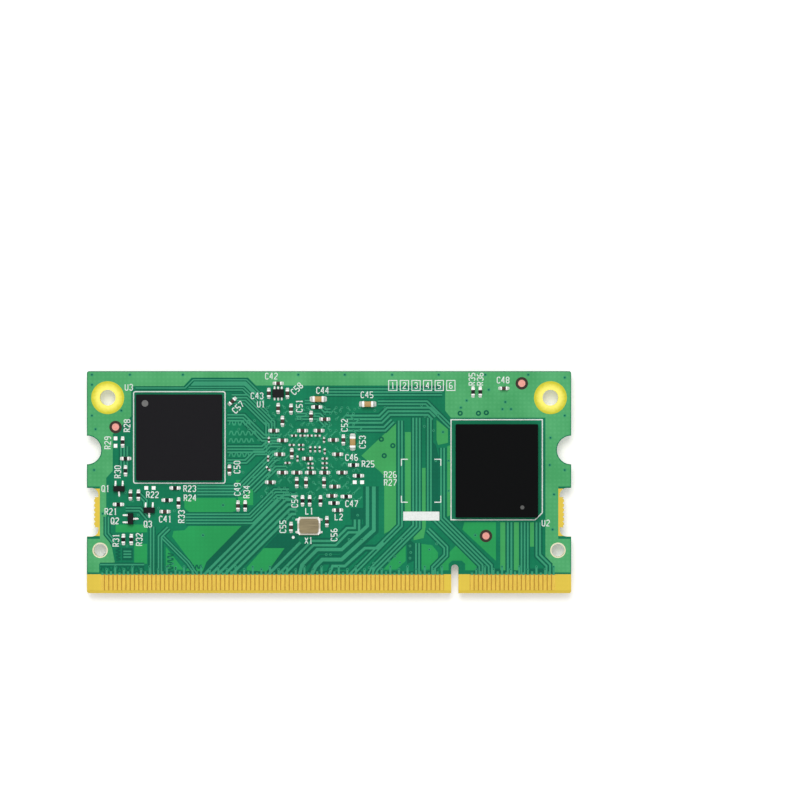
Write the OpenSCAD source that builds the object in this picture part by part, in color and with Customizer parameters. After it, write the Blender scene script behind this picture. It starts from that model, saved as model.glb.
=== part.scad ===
// Compute module on a card with a 200-contact edge: memory, storage and a crystal on the upper
// face, processor and power supply on the lower face. Millimetres, +Z up, contact edge towards -Y,
// origin under the middle of the card at the level of the processor lid that it rests on.

/* [Board] */
// Length of the board along its contact edge
board_length = 67.6; // [64:0.1:80]
// Depth of the board, from the contact edge to the far edge
board_depth = 31; // [30:0.1:40]
// Thickness of the laminate
board_thickness = 1; // [0.8:0.05:2]
// Radius of the outer corners
corner_radius = 0.3; // [0.1:0.05:1]

/* [Contact edge] */
// Distance between the centres of neighbouring contacts
contact_pitch = 0.6; // [0.5:0.05:1]
// Width of one contact
contact_width = 0.45; // [0.2:0.01:0.48]
// Distance that the contacts reach in from the edge
contact_reach = 2.55; // [1.5:0.05:3.5]
// Thickness of the copper and its plating
copper_thickness = 0.04; // [0.02:0.01:0.1]
// Depth of the lead-in bevel along the board
bevel_length = 0.4; // [0.2:0.05:0.8]
// Depth of the lead-in bevel through each face
bevel_depth = 0.15; // [0.05:0.01:0.3]
// Distance from the right end to the middle of the key slot
key_inset = 16.25; // [14:0.05:20]
// Width of the key slot
key_width = 1; // [0.6:0.05:1.6]
// Depth of the key slot
key_depth = 4; // [2:0.1:6]
// Distance from the key slot to the first contact of the long row
long_row_gap = 1.8; // [1.5:0.05:3]
// Distance from the key slot to the first contact of the short row
short_row_gap = 2.4; // [1.5:0.05:3]
// Least distance from an end of the board to the middle of a contact
row_end_margin = 2; // [1:0.1:4]

/* [Notches] */
// Radius of the half-round notches that the socket's latches enter
latch_radius = 2; // [1:0.1:2.5]
// Height of the latch notches above the contact edge
latch_height = 20; // [18:0.1:22]
// Height of the middle of the break-off recesses above the contact edge
recess_height = 11.3; // [10.5:0.1:12]
// Length of the break-off recesses along the side
recess_length = 6.8; // [5.5:0.1:8]
// Depth of the break-off recesses
recess_depth = 1.6; // [1.2:0.1:2]
// Radius of the inner corners of the break-off recesses
recess_corner = 1; // [0.3:0.1:1.2]
// Length of the snapped tab in each recess
tab_length = 4.2; // [3:0.1:4.4]
// Distance that the snapped tab stands out of the recess floor
tab_proud = 0.6; // [0.4:0.05:1]
// Diameter of the perforations along the snapped tab
bite_diameter = 0.3; // [0.2:0.05:0.5]
// Distance between the perforations
bite_pitch = 0.65; // [0.5:0.05:1]

/* [Holes] */
// Diameter of the plated mounting holes
mounting_hole = 2.2; // [1.6:0.1:3]
// Distance from each end of the board to the mounting holes
mounting_inset = 2.9; // [2.6:0.1:4]
// Distance from the far edge to the mounting holes
mounting_drop = 3.7; // [2.6:0.1:5]
// Diameter of the bare ring round a mounting hole
mounting_ring = 4.6; // [3.4:0.1:5]
// Diameter of the plain alignment holes
alignment_hole = 1.8; // [1:0.1:2]
// Distance from each end of the board to the alignment holes
alignment_inset = 1.85; // [1.5:0.05:3]
// Height of the alignment holes above the contact edge
alignment_height = 6; // [4.5:0.1:6.5]
// Diameter of the copper dots that the assembly camera looks for
fiducial_diameter = 1; // [0.6:0.1:1.4]

/* [Memory] */
// Side of the square memory package
memory_side = 12; // [11:0.1:13.2]
// Thickness of the memory package
memory_body = 0.6; // [0.4:0.05:1]
// Distance from the left end of the board to the middle of the memory
memory_inset = 12.9; // [12.5:0.1:14]
// Distance from the far edge to the middle of the memory
memory_drop = 9.25; // [8.5:0.05:10]
// Distance between the solder balls under the memory
memory_ball_pitch = 0.5; // [0.4:0.05:0.8]
// Rows of solder balls round the rim of the memory
memory_ball_rows = 2; // [1:1:4]
// Diameter of the memory's first-pin dimple
memory_dimple = 1; // [0.4:0.1:1.4]
// Distance from the memory's left and far sides to its first-pin dimple
memory_dimple_inset = 1.25; // [0.9:0.05:2]

/* [Storage] */
// Width of the storage package
storage_width = 11.5; // [10:0.1:14]
// Depth of the storage package
storage_depth = 13; // [11:0.1:16]
// Thickness of the storage package
storage_body = 0.8; // [0.5:0.05:1.2]
// Distance from the right end of the board to the middle of the storage
storage_inset = 10.4; // [9.5:0.1:12]
// Distance from the far edge to the middle of the storage
storage_drop = 13.9; // [12.5:0.1:15]
// Distance between the solder balls under the storage
storage_ball_pitch = 0.8; // [0.5:0.05:1]
// Rows of solder balls round the rim of the storage
storage_ball_rows = 3; // [1:1:5]
// Diameter of the storage's first-pin dimple
storage_dimple = 0.7; // [0.4:0.1:1.4]
// Distance from the storage's right side to its first-pin dimple
storage_dimple_inset = 2.2; // [0.9:0.1:3]
// Distance from the storage's near side to its first-pin dimple
storage_dimple_rise = 1.4; // [0.9:0.1:3]

/* [Grid packages] */
// Gap between the board and a package on solder balls
ball_height = 0.22; // [0.15:0.01:0.4]
// Diameter of a solder ball
ball_diameter = 0.32; // [0.2:0.01:0.38]
// Distance from a package's side to the first row of balls
ball_margin = 0.5; // [0.3:0.05:1]
// Radius of the vertical edges of a package
package_corner = 0.15; // [0.05:0.05:0.5]
// Depth of the first-pin dimples
dimple_depth = 0.05; // [0.02:0.01:0.15]

/* [Processor] */
// Side of the processor's carrier
processor_side = 14; // [13:0.1:15.5]
// Thickness of the processor's carrier
carrier_thickness = 0.42; // [0.3:0.01:0.8]
// Distance from the left end of the board to the middle of the processor
processor_inset = 31.8; // [31:0.1:34]
// Distance from the far edge to the middle of the processor
processor_drop = 11.3; // [10.8:0.1:12]
// Distance between the solder balls under the processor
processor_ball_pitch = 0.65; // [0.5:0.05:1]
// Side of the metal lid at its foot
lid_side = 13; // [11:0.1:13.2]
// Width of the lid's foot
lid_foot = 0.7; // [0.4:0.05:1.5]
// Thickness of the sheet that the lid is pressed from
lid_sheet = 0.25; // [0.15:0.01:0.4]
// Side of the silicon die
die_side = 7; // [4:0.1:9]
// Thickness of the silicon die
die_thickness = 0.4; // [0.2:0.01:0.6]
// Thickness of the paste between the die and the lid
paste_thickness = 0.1; // [0.05:0.01:0.2]

/* [Crystal] */
// Length of the crystal
crystal_length = 3.2; // [2.5:0.1:3.8]
// Width of the crystal
crystal_width = 2.5; // [2:0.1:3]
// Height of the crystal's ceramic base
crystal_base_height = 0.42; // [0.3:0.01:0.8]
// Height of the crystal's metal lid
crystal_lid_height = 0.25; // [0.1:0.01:0.4]
// Width of the ceramic rim round the lid
crystal_rim = 0.25; // [0.05:0.01:0.4]
// Length of a corner pad of the crystal
crystal_pad_length = 0.9; // [0.5:0.05:1.1]
// Width of a corner pad of the crystal
crystal_pad_width = 0.75; // [0.4:0.05:0.9]

/* [Chip parts] */
// Length of the smallest capacitors
tiny_length = 0.6; // [0.5:0.02:0.7]
// Width of the smallest capacitors
tiny_width = 0.3; // [0.2:0.02:0.36]
// Height of the smallest capacitors
tiny_height = 0.3; // [0.2:0.02:0.4]
// Length of the metal ends of the smallest capacitors
tiny_end = 0.15; // [0.08:0.01:0.2]
// Length of the solder in front of the smallest capacitors
tiny_land = 0.15; // [0.08:0.01:0.2]
// Length of the common capacitors and resistors
small_length = 1; // [0.9:0.02:1.2]
// Width of the common capacitors and resistors
small_width = 0.5; // [0.4:0.02:0.6]
// Height of the common capacitors
small_height = 0.5; // [0.35:0.02:0.6]
// Length of the metal ends of the common parts
small_end = 0.25; // [0.15:0.01:0.3]
// Length of the solder in front of the common parts
small_land = 0.28; // [0.15:0.01:0.32]
// Height of the resistors
resistor_height = 0.35; // [0.25:0.01:0.5]
// Thickness of the dark glass on a resistor
coat_thickness = 0.04; // [0.02:0.01:0.1]
// Length of the supply capacitors
medium_length = 1.6; // [1.4:0.05:1.9]
// Width of the supply capacitors
medium_width = 0.8; // [0.6:0.02:1]
// Height of the supply capacitors
medium_height = 0.8; // [0.5:0.02:0.95]
// Length of the metal ends of the supply capacitors
medium_end = 0.35; // [0.2:0.01:0.5]
// Length of the solder in front of the supply capacitors
medium_land = 0.4; // [0.2:0.01:0.5]
// Thickness of the metal on a chip part's ends
end_wall = 0.025; // [0.01:0.005:0.05]
// Distance from the top of a chip part down to its solder
solder_drop = 0.08; // [0.02:0.01:0.12]

/* [Leaded parts] */
// Thickness of the lead frames
lead_thickness = 0.12; // [0.08:0.01:0.2]
// Gap between the board and a leaded body
lead_standoff = 0.05; // [0.02:0.01:0.15]
// Slope of a moulded body's sides, as an inset at its top and bottom
mould_draft = 0.06; // [0.02:0.01:0.12]
// Length of a transistor's body
transistor_length = 1.6; // [1.4:0.05:1.9]
// Width of a transistor's body
transistor_width = 0.8; // [0.7:0.05:1]
// Height of a transistor's body
transistor_height = 0.7; // [0.5:0.05:0.9]
// Distance that a transistor's leads reach out of its body
transistor_reach = 0.42; // [0.3:0.01:0.6]
// Width of a small lead
small_lead_width = 0.25; // [0.15:0.01:0.35]
// Distance between a transistor's paired leads
transistor_pitch = 1; // [0.8:0.05:1.2]
// Length of the logic gate's body
gate_length = 1.6; // [1.4:0.05:1.9]
// Width of the logic gate's body
gate_width = 1.2; // [1:0.05:1.4]
// Height of the logic gate's body
gate_height = 0.55; // [0.4:0.05:0.8]
// Distance that the logic gate's leads reach out of its body
gate_reach = 0.22; // [0.18:0.01:0.3]
// Distance between the logic gate's leads
gate_pitch = 0.5; // [0.4:0.05:0.6]
// Length of the linear regulator's body
regulator_length = 2.9; // [2.6:0.05:3.3]
// Width of the linear regulator's body
regulator_width = 1.6; // [1.4:0.05:1.9]
// Height of the linear regulator's body
regulator_height = 1; // [0.8:0.05:1.2]
// Distance that the linear regulator's leads reach out of its body
regulator_reach = 0.6; // [0.45:0.05:0.8]
// Width of the linear regulator's leads
regulator_lead_width = 0.4; // [0.3:0.02:0.5]
// Distance between the linear regulator's leads
regulator_pitch = 0.95; // [0.8:0.05:1.1]

/* [Power supply] */
// Distance from the processor's carrier to the middle of the coils
coil_gap = 6; // [5.6:0.1:6.4]
// Distance from the processor's carrier to the capacitors beside the coils
output_gap = 2.4; // [2:0.1:2.8]
// Distance from the coils to the converters
converter_gap = 2; // [1.6:0.1:2.4]
// Distance from a converter to the capacitors at its sides
input_gap = 1; // [0.9:0.05:1.1]
// Distance from a converter to the first parts that set its voltage
feedback_gap = 1.6; // [1.3:0.1:1.8]
// Distance from those parts to the next, and along their rows
feedback_pitch = 1.3; // [1.1:0.05:1.4]
// Distance from the converters to the middle of the regulator
regulator_gap = 6.4; // [6:0.1:6.8]
// Distance from the regulator to its capacitors
regulator_capacitor_gap = 2.2; // [1.9:0.1:2.6]
// Distance from the processor's carrier to the small capacitors along two of its sides
rim_gap = 2.1; // [1.8:0.1:2.4]
// Distance between those capacitors
rim_pitch = 2; // [1.8:0.1:2.2]
// Resistors in the row by the contacts
resistor_row_count = 12; // [4:1:12]
// Distance from the left end of the board to the first resistor of that row
resistor_row_inset = 15.8; // [15:0.1:17]
// Distance between the resistors of that row
resistor_row_pitch = 2.4; // [2:0.1:2.6]
// Distance from the contacts to the middle of that row
resistor_row_gap = 2.4; // [2:0.1:2.8]
// Distance that the supply's middle lies below that of the processor
supply_drop = 0.7; // [0.4:0.1:1]
// Length of the coils
coil_length = 2.5; // [2:0.1:3]
// Width of the coils
coil_width = 2; // [1.6:0.1:2.5]
// Height of the coils
coil_height = 1.15; // [0.8:0.05:1.3]
// Length of the coils' terminals
coil_terminal = 0.6; // [0.3:0.05:0.9]
// Thickness of the coils' terminals
terminal_thickness = 0.08; // [0.04:0.01:0.15]
// Bevel along the top edges of the coils
coil_bevel = 0.12; // [0.05:0.01:0.25]
// Distance between neighbouring coils
coil_spacing = 4; // [3.5:0.1:4.2]
// Side of the square converter packages
converter_side = 3; // [2.5:0.1:3.4]
// Thickness of the converter packages
converter_height = 0.75; // [0.5:0.05:1]
// Width of a converter's pad
converter_pad_width = 0.25; // [0.15:0.01:0.35]
// Length of a converter's pad
converter_pad_length = 0.4; // [0.25:0.01:0.5]
// Distance between a converter's pads
converter_pad_pitch = 0.45; // [0.4:0.01:0.5]
// Height of a converter's pads under its body
converter_pad_height = 0.05; // [0.02:0.01:0.1]

/* [Hidden] */
$fn = 48;

// Levels: the lid's outer face is at zero, then the lower and the upper face of the board
lid_height = die_thickness + paste_thickness + lid_sheet;
lower_z = ball_height + carrier_thickness + lid_height;
upper_z = lower_z + board_thickness;

// Edges of the board
left_x = -board_length / 2;
right_x = board_length / 2;
far_y = board_depth / 2;
near_y = -board_depth / 2;

// Contacts: as many as fit between the key slot and the ends of the board
key_x = right_x - key_inset;
long_row_x = key_x - long_row_gap;
short_row_x = key_x + short_row_gap;
long_row_count = floor((long_row_x - left_x - row_end_margin) / contact_pitch) + 1;
short_row_count = floor((right_x - row_end_margin - short_row_x) / contact_pitch) + 1;
contact_xs = [
    for (i = [0:long_row_count - 1]) long_row_x - i * contact_pitch,
    for (i = [0:short_row_count - 1]) short_row_x + i * contact_pitch
];

// Middles and edges of the large packages
memory_x = left_x + memory_inset;
memory_y = far_y - memory_drop;
memory_left = memory_x - memory_side / 2;
memory_right = memory_x + memory_side / 2;
memory_foot = memory_y - memory_side / 2;
storage_x = right_x - storage_inset;
storage_y = far_y - storage_drop;
storage_foot = storage_y - storage_depth / 2;
processor_x = left_x + processor_inset;
processor_y = far_y - processor_drop;
processor_left = processor_x - processor_side / 2;
processor_right = processor_x + processor_side / 2;
processor_foot = processor_y - processor_side / 2;
plateau_side = lid_side - 2 * lid_foot;
crystal_x = processor_x - 0.8;
crystal_y = processor_y - 10.3;
gate_x = processor_x - 5.1;
gate_y = processor_y + 8.2;

// Moves places, each [x, y, turn], from their own datum to the board's frame
function at(x, y, places) = [for (p = places) [x + p.x, y + p.y, p.z]];

mounting_places = [for (side = [-1, 1]) [side * (right_x - mounting_inset), far_y - mounting_drop, 0]];
alignment_places = [for (side = [-1, 1]) [side * (right_x - alignment_inset), near_y + alignment_height, 0]];
upper_fiducials = [
    [memory_left - 2.9, far_y - 7.8, 0],
    [right_x - 6.9, far_y - 1.7, 0],
    [storage_x - 1.5, storage_foot - 2.6, 0]
];
lower_fiducials = [
    [left_x + 9.8, far_y - 2, 0],
    [right_x - 9.8, far_y - 2, 0],
    [right_x - 4.3, near_y + 9.5, 0]
];

// Upper face: what stands left of the memory, below it, right of it, round the processor's
// supply pins, beside the crystal and beside the storage
transistor_places = at(memory_left, memory_foot, [[-2.4, -1.15, 0], [1.8, -4.15, 0], [-0.8, -5.35, 90]]);
pad_places = concat(
    at(memory_left, far_y, [[-2.9, -9.9, 90]]),
    at(memory_left, memory_foot, [[1.9, -1.05, 0]]),
    at(processor_x, processor_y, [[6.1, -4.2, 0]])
);
resistor_places = concat(
    at(memory_left, far_y, [[-1.9, -9.9, 90], [-1.5, -12.2, 0], [-1.5, -13.9, 90]]),
    at(memory_left, memory_foot, [
        [0.3, -2.05, 90], [-2.5, -3.35, 0], [-1.8, -8.25, 90], [-0.7, -8.25, 90],
        [5.4, -1.05, 0], [4.3, -2.75, 0], [5.9, -3.15, 90]
    ]),
    at(memory_right, far_y, [[3.2, -18.8, 90]]),
    at(processor_x, processor_y, [
        [0.3, 6.3, 0], [5.4, -1.8, 0], [6.1, -3.3, 0], [4.4, -6.2, 0],
        [-1.7, -6.8, 90], [-0.7, -6.8, 90], [0.8, -6.8, 90], [2.7, -7.1, 0]
    ]),
    at(right_x, far_y, [[-13.7, -2.9, 90], [-12.7, -2.9, 90]])
);
bead_places = at(processor_x, processor_y, [[3.2, -8.1, 0]]);
small_capacitor_places = concat(
    at(memory_left, memory_foot, [[-0.8, -2.05, 90], [4, -4.35, 0]]),
    at(memory_right, far_y, [[1.4, -4.2, 45], [1, -13.8, 90], [2.2, -18.8, 90]]),
    at(gate_x, gate_y, [[0, 1.4, 0], [-gate_length / 2 - 0.5, 0, 90], [gate_length / 2 + 0.5, 0, 90]]),
    at(processor_x, processor_y, [
        [-5.1, 6.1, 90], [-3.3, 6, 90], [-0.5, 5, 90], [-4.5, 4.3, 90], [1.4, 4.6, 0],
        [-5.7, 3, 0], [-1.7, 3, 0], [0.6, 3, 0],
        [-4.5, 1.65, 0], [2.6, 1.7, 0], [4, 1.7, 90],
        [-4.9, -0.3, 0], [-3.2, -0.2, 90], [3.2, -0.3, 0], [-1, -0.9, 0],
        [-4.5, -2.85, 0], [-2.5, -2.85, 0], [-0.6, -2.85, 0], [1.4, -2.85, 0], [3.8, -2.85, 0],
        [-6.2, -4.2, 0], [-2.5, -4.25, 90], [-1.2, -4.25, 90], [1.3, -4.25, 90],
        [2.8, -4.8, 0], [2.4, -6.1, 0]
    ]),
    at(crystal_x, crystal_y, [[-crystal_length / 2 - 0.9, -0.2, 90], [crystal_length / 2 + 0.9, 0.6, 90]]),
    at(right_x, far_y, [[-9.4, -2.4, 0]])
);
tiny_capacitor_places = at(processor_x, processor_y, [
    [-2.9, 2.3, 0], [-1.7, 2.3, 0], [-0.7, 2.3, 0], [0.4, 2.3, 0],
    [-3.2, 1, 0], [-1.9, 1, 0], [-1.9, 0.4, 0],
    [-0.6, 0.4, 90], [0.05, 0.4, 90], [0.7, 0.4, 90], [1.3, 1.7, 90], [1.4, 0.1, 90],
    [-2.4, -0.9, 90], [-6.5, -0.9, 90], [-6.4, 1.7, 90], [-3.8, -1.5, 0], [-6.5, -2.3, -45],
    [-0.6, -1.6, 0], [-0.6, -2.2, 0], [1.4, -0.9, 0], [1.4, -1.55, 0], [1.4, -2.2, 0]
]);
medium_capacitor_places = at(processor_x, processor_y, [[0.5, 7.4, 0], [7.4, 6.7, 0], [5.3, 1.4, 90]]);

// Lower face: four coils beside the processor, the converters that drive them, and a regulator
coil_ys = [for (i = [-1.5:1:1.5]) processor_y - supply_drop + i * coil_spacing];
converter_ys = [(coil_ys[0] + coil_ys[1]) / 2, (coil_ys[2] + coil_ys[3]) / 2];
coil_x = processor_left - coil_gap;
converter_x = coil_x - coil_length / 2 - converter_side / 2 - converter_gap;
regulator_x = converter_x - converter_side / 2 - regulator_gap;
regulator_y = processor_y - supply_drop;
feedback_x = converter_x - converter_side / 2 - feedback_gap;
coil_places = [for (y = coil_ys) [coil_x, y, 0]];
converter_places = [for (y = converter_ys) [converter_x, y, 90]];
regulator_places = [[regulator_x, regulator_y, 0]];
lower_medium_capacitor_places = concat(
    [for (y = coil_ys) [processor_left - output_gap, y, 90]],
    [for (y = converter_ys, side = [-1, 1]) [converter_x, y + side * (converter_side / 2 + input_gap), 0]],
    [for (side = [-1, 1])
        [regulator_x, regulator_y + side * (regulator_width / 2 + regulator_capacitor_gap), 0]]
);
lower_small_capacitor_places = concat(
    [for (i = [-2.5:1:2.5]) [processor_right + rim_gap, processor_y + i * rim_pitch, 90]],
    [for (i = [-2.5:1:2.5]) [processor_x + i * rim_pitch, processor_foot - rim_gap, 0]],
    [for (y = converter_ys) [feedback_x, y + feedback_pitch, 90]]
);
lower_resistor_places = concat(
    [for (y = converter_ys) [feedback_x, y - feedback_pitch, 90]],
    [for (y = converter_ys, side = [-1, 1]) [feedback_x - feedback_pitch, y + side * feedback_pitch, 90]],
    [for (i = [0:resistor_row_count - 1])
        [left_x + resistor_row_inset + i * resistor_row_pitch, near_y + contact_reach + resistor_row_gap, 90]]
);

// Stands its children at each place on the upper face
module upper(places) {
    for (p = places) translate([p.x, p.y, upper_z]) rotate(p.z) children();
}

// Hangs its children at each place on the lower face, their tops downwards
module lower(places) {
    for (p = places) translate([p.x, p.y, lower_z]) mirror([0, 0, 1]) rotate(p.z) children();
}

module rounded_rectangle(length, width, radius) {
    square([length - 2 * radius, width], center = true);
    square([length, width - 2 * radius], center = true);
    for (x = [-1, 1], y = [-1, 1])
        translate([x * (length / 2 - radius), y * (width / 2 - radius)]) circle(radius);
}

// A block that stands on its own XY plane
module block(length, width, height) {
    translate([-length / 2, -width / 2, 0]) cube([length, width, height]);
}

// Board

module key_slot() {
    translate([key_x, near_y]) {
        translate([-key_width / 2, -key_depth]) square([key_width, 2 * key_depth - key_width / 2]);
        translate([0, key_depth - key_width / 2]) circle(key_width / 2);
    }
}

// The snapped tab: a short tongue whose outer edge is scalloped by its perforations
module snapped_tab() {
    bites = floor(tab_length / bite_pitch);
    difference() {
        translate([-recess_depth, -tab_length / 2]) square([tab_proud, tab_length]);
        for (i = [0:bites])
            translate([tab_proud - recess_depth, (i - bites / 2) * bite_pitch]) circle(d = bite_diameter);
    }
}

module right_side_cuts() {
    translate([right_x, near_y + latch_height]) circle(latch_radius);
    difference() {
        translate([right_x, near_y + recess_height])
            rounded_rectangle(2 * recess_depth, recess_length, recess_corner);
        translate([right_x, near_y + recess_height]) snapped_tab();
    }
}

module board_outline() {
    difference() {
        rounded_rectangle(board_length, board_depth, corner_radius);
        right_side_cuts();
        mirror([1, 0]) right_side_cuts();
        key_slot();
        for (p = mounting_places) translate([p.x, p.y]) circle(d = mounting_hole + 2 * copper_thickness);
        for (p = alignment_places) translate([p.x, p.y]) circle(d = alignment_hole);
    }
}

module edge_bevel(z, direction) {
    translate([left_x - 1, near_y, z]) rotate([90, 0, 90])
        linear_extrude(board_length + 2)
            polygon([
                [-1, -direction * bevel_depth * (1 + 1 / bevel_length)], [bevel_length, 0], [-1, direction]
            ]);
}

module circuit_board() {
    color("seagreen") difference() {
        translate([0, 0, lower_z]) linear_extrude(board_thickness) board_outline();
        edge_bevel(upper_z, 1);
        edge_bevel(lower_z, -1);
    }
}

module contact_row() {
    length = contact_reach - bevel_length;
    for (x = contact_xs)
        translate([x, near_y + bevel_length + length / 2, 0]) block(contact_width, length, copper_thickness);
}

module upper_contacts() {
    color("goldenrod") translate([0, 0, upper_z]) contact_row();
}

module lower_contacts() {
    color("goldenrod") translate([0, 0, lower_z]) mirror([0, 0, 1]) contact_row();
}

// A flanged sleeve: the plated wall of the hole with a ring on each face
module mounting_hole_plating() {
    bore = mounting_hole / 2;
    wall = bore + copper_thickness;
    ring = mounting_ring / 2;
    low = lower_z - copper_thickness;
    high = upper_z + copper_thickness;
    color("khaki") for (p = mounting_places) translate([p.x, p.y, 0]) rotate_extrude()
        polygon([
            [bore, low], [ring, low], [ring, lower_z], [wall, lower_z],
            [wall, upper_z], [ring, upper_z], [ring, high], [bore, high]
        ]);
}

module fiducial_dots() {
    color("lightsalmon") {
        upper(upper_fiducials) cylinder(d = fiducial_diameter, h = copper_thickness);
        lower(lower_fiducials) cylinder(d = fiducial_diameter, h = copper_thickness);
    }
}

module bare_pads() {
    pad = small_end + small_land;
    color("silver") upper(pad_places) for (side = [-1, 1])
        translate([side * (small_length / 2 + small_land - pad / 2), 0, 0])
            block(pad, small_width, copper_thickness);
}

// Packages on solder balls

module package_body(length, width, height, dimple_x, dimple_y, dimple) {
    difference() {
        translate([0, 0, ball_height]) linear_extrude(height)
            rounded_rectangle(length, width, package_corner);
        translate([dimple_x, dimple_y, ball_height + height - dimple_depth])
            cylinder(d = dimple, h = 2 * dimple_depth);
    }
}

// Balls on a square pitch, in so many rows inward from the rim of the package
module ball_grid(length, width, pitch, rows) {
    nx = floor((length - 2 * ball_margin) / pitch);
    ny = floor((width - 2 * ball_margin) / pitch);
    for (i = [0:nx], j = [0:ny])
        if (min(i, j, nx - i, ny - j) < rows)
            translate([(i - nx / 2) * pitch, (j - ny / 2) * pitch, 0])
                cylinder(d = ball_diameter, h = ball_height, $fn = 24);
}

memory_places = [[memory_x, memory_y, 0]];
storage_places = [[storage_x, storage_y, 0]];
processor_places = [[processor_x, processor_y, 0]];

module memory_package() {
    reach = memory_side / 2 - memory_dimple_inset;
    color("dimgray") upper(memory_places)
        package_body(memory_side, memory_side, memory_body, -reach, reach, memory_dimple);
}

module memory_solder_balls() {
    color("silver") upper(memory_places)
        ball_grid(memory_side, memory_side, memory_ball_pitch, memory_ball_rows);
}

module storage_package() {
    dimple_x = storage_width / 2 - storage_dimple_inset;
    dimple_y = storage_dimple_rise - storage_depth / 2;
    color("black") upper(storage_places)
        package_body(storage_width, storage_depth, storage_body, dimple_x, dimple_y, storage_dimple);
}

module storage_solder_balls() {
    color("silver") upper(storage_places)
        ball_grid(storage_width, storage_depth, storage_ball_pitch, storage_ball_rows);
}

// Processor: a carrier on balls, and a pressed lid over the die

carrier_top = ball_height + carrier_thickness;

module processor_carrier() {
    color("darkolivegreen") lower(processor_places) translate([0, 0, ball_height])
        linear_extrude(carrier_thickness) rounded_rectangle(processor_side, processor_side, package_corner);
}

module processor_die() {
    color("slategray") lower(processor_places) translate([0, 0, carrier_top])
        block(die_side, die_side, die_thickness);
}

module processor_paste() {
    color("gainsboro") lower(processor_places) translate([0, 0, carrier_top + die_thickness])
        block(die_side, die_side, paste_thickness);
}

module processor_lid() {
    cavity_side = plateau_side - 2 * lid_sheet;
    color("silver") lower(processor_places) translate([0, 0, carrier_top]) difference() {
        union() {
            linear_extrude(lid_sheet) rounded_rectangle(lid_side, lid_side, lid_foot);
            linear_extrude(lid_height) rounded_rectangle(plateau_side, plateau_side, lid_foot);
        }
        translate([0, 0, -lid_height]) block(cavity_side, cavity_side, 2 * lid_height - lid_sheet);
    }
}

module processor_solder_balls() {
    rows = ceil(processor_side / processor_ball_pitch / 2);
    color("silver") lower(processor_places)
        ball_grid(processor_side, processor_side, processor_ball_pitch, rows);
}

// Crystal: a ceramic tray with notched corners on four pads, closed by a metal lid

crystal_places = [[crystal_x, crystal_y, 0]];
crystal_pad_x = (crystal_length - crystal_pad_length) / 2;
crystal_pad_y = (crystal_width - crystal_pad_width) / 2;
crystal_notch = 0.2;
crystal_solder_width = crystal_pad_width - 2 * crystal_notch;

module crystal_corner_notches() {
    for (x = [-1, 1], y = [-1, 1])
        translate([x * crystal_length / 2, y * crystal_width / 2]) circle(crystal_notch);
}

module crystal_terminals() {
    color("gold") upper(crystal_places) linear_extrude(copper_thickness) difference() {
        for (x = [-1, 1], y = [-1, 1]) translate([x * crystal_pad_x, y * crystal_pad_y])
            square([crystal_pad_length, crystal_pad_width], center = true);
        crystal_corner_notches();
    }
}

module crystal_base() {
    color("wheat") upper(crystal_places) translate([0, 0, copper_thickness])
        linear_extrude(crystal_base_height) difference() {
            square([crystal_length, crystal_width], center = true);
            crystal_corner_notches();
        }
}

module crystal_lid() {
    length = crystal_length - 2 * crystal_rim;
    width = crystal_width - 2 * crystal_rim;
    color("rosybrown") upper(crystal_places) translate([0, 0, copper_thickness + crystal_base_height])
        linear_extrude(crystal_lid_height) rounded_rectangle(length, width, 2 * crystal_notch);
}

// Chip parts: a body between two metal ends

module chip_body(length, width, height) {
    translate([0, 0, end_wall])
        block(length - 2 * end_wall, width - 2 * end_wall, height - 2 * end_wall);
}

module chip_ends(length, width, height, end) {
    difference() {
        for (side = [-1, 1]) translate([side * (length - end) / 2, 0, 0]) block(end, width, height);
        chip_body(length, width, height);
    }
}

module resistor_core() {
    translate([0, 0, end_wall])
        block(small_length - 2 * end_wall, small_width, resistor_height - 2 * end_wall);
}

module resistor_coat() {
    translate([0, 0, resistor_height - end_wall])
        block(small_length - 2 * small_end, small_width, coat_thickness);
}

module resistor_end_pair() {
    difference() {
        for (side = [-1, 1]) translate([side * (small_length - small_end) / 2, 0, 0])
            block(small_end, small_width, resistor_height);
        resistor_core();
    }
}

// Solder drawn up a vertical metal face: a hollow ramp that runs out to a thin toe
module solder_ramp(land, width, height) {
    toe = copper_thickness;
    hollow = 0.4;
    knee = toe + (height - toe) * hollow;
    rotate([90, 0, 0]) linear_extrude(width, center = true)
        polygon([[0, 0], [land, 0], [land, toe], [land * hollow, knee], [0, height]]);
}

module chip_solder(length, width, height, land) {
    for (turn = [0, 180]) rotate(turn) translate([length / 2, 0, 0])
        solder_ramp(land, width, height - solder_drop);
}

module tiny_capacitor_bodies() {
    color("sienna") upper(tiny_capacitor_places) chip_body(tiny_length, tiny_width, tiny_height);
}

module tiny_capacitor_ends() {
    color("silver") upper(tiny_capacitor_places) chip_ends(tiny_length, tiny_width, tiny_height, tiny_end);
}

module small_capacitor_bodies() {
    color("sienna") upper(small_capacitor_places) chip_body(small_length, small_width, small_height);
}

module small_capacitor_ends() {
    color("silver") upper(small_capacitor_places)
        chip_ends(small_length, small_width, small_height, small_end);
}

module medium_capacitor_bodies() {
    color("tan") upper(medium_capacitor_places) chip_body(medium_length, medium_width, medium_height);
}

module medium_capacitor_ends() {
    color("silver") upper(medium_capacitor_places)
        chip_ends(medium_length, medium_width, medium_height, medium_end);
}

module resistor_cores() {
    color("white") upper(resistor_places) resistor_core();
}

module resistor_coats() {
    color("black") upper(resistor_places) resistor_coat();
}

module resistor_ends() {
    color("silver") upper(resistor_places) resistor_end_pair();
}

module ferrite_bead_body() {
    color("black") upper(bead_places) chip_body(small_length, small_width, small_height);
}

module ferrite_bead_ends() {
    color("silver") upper(bead_places) chip_ends(small_length, small_width, small_height, small_end);
}

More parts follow.
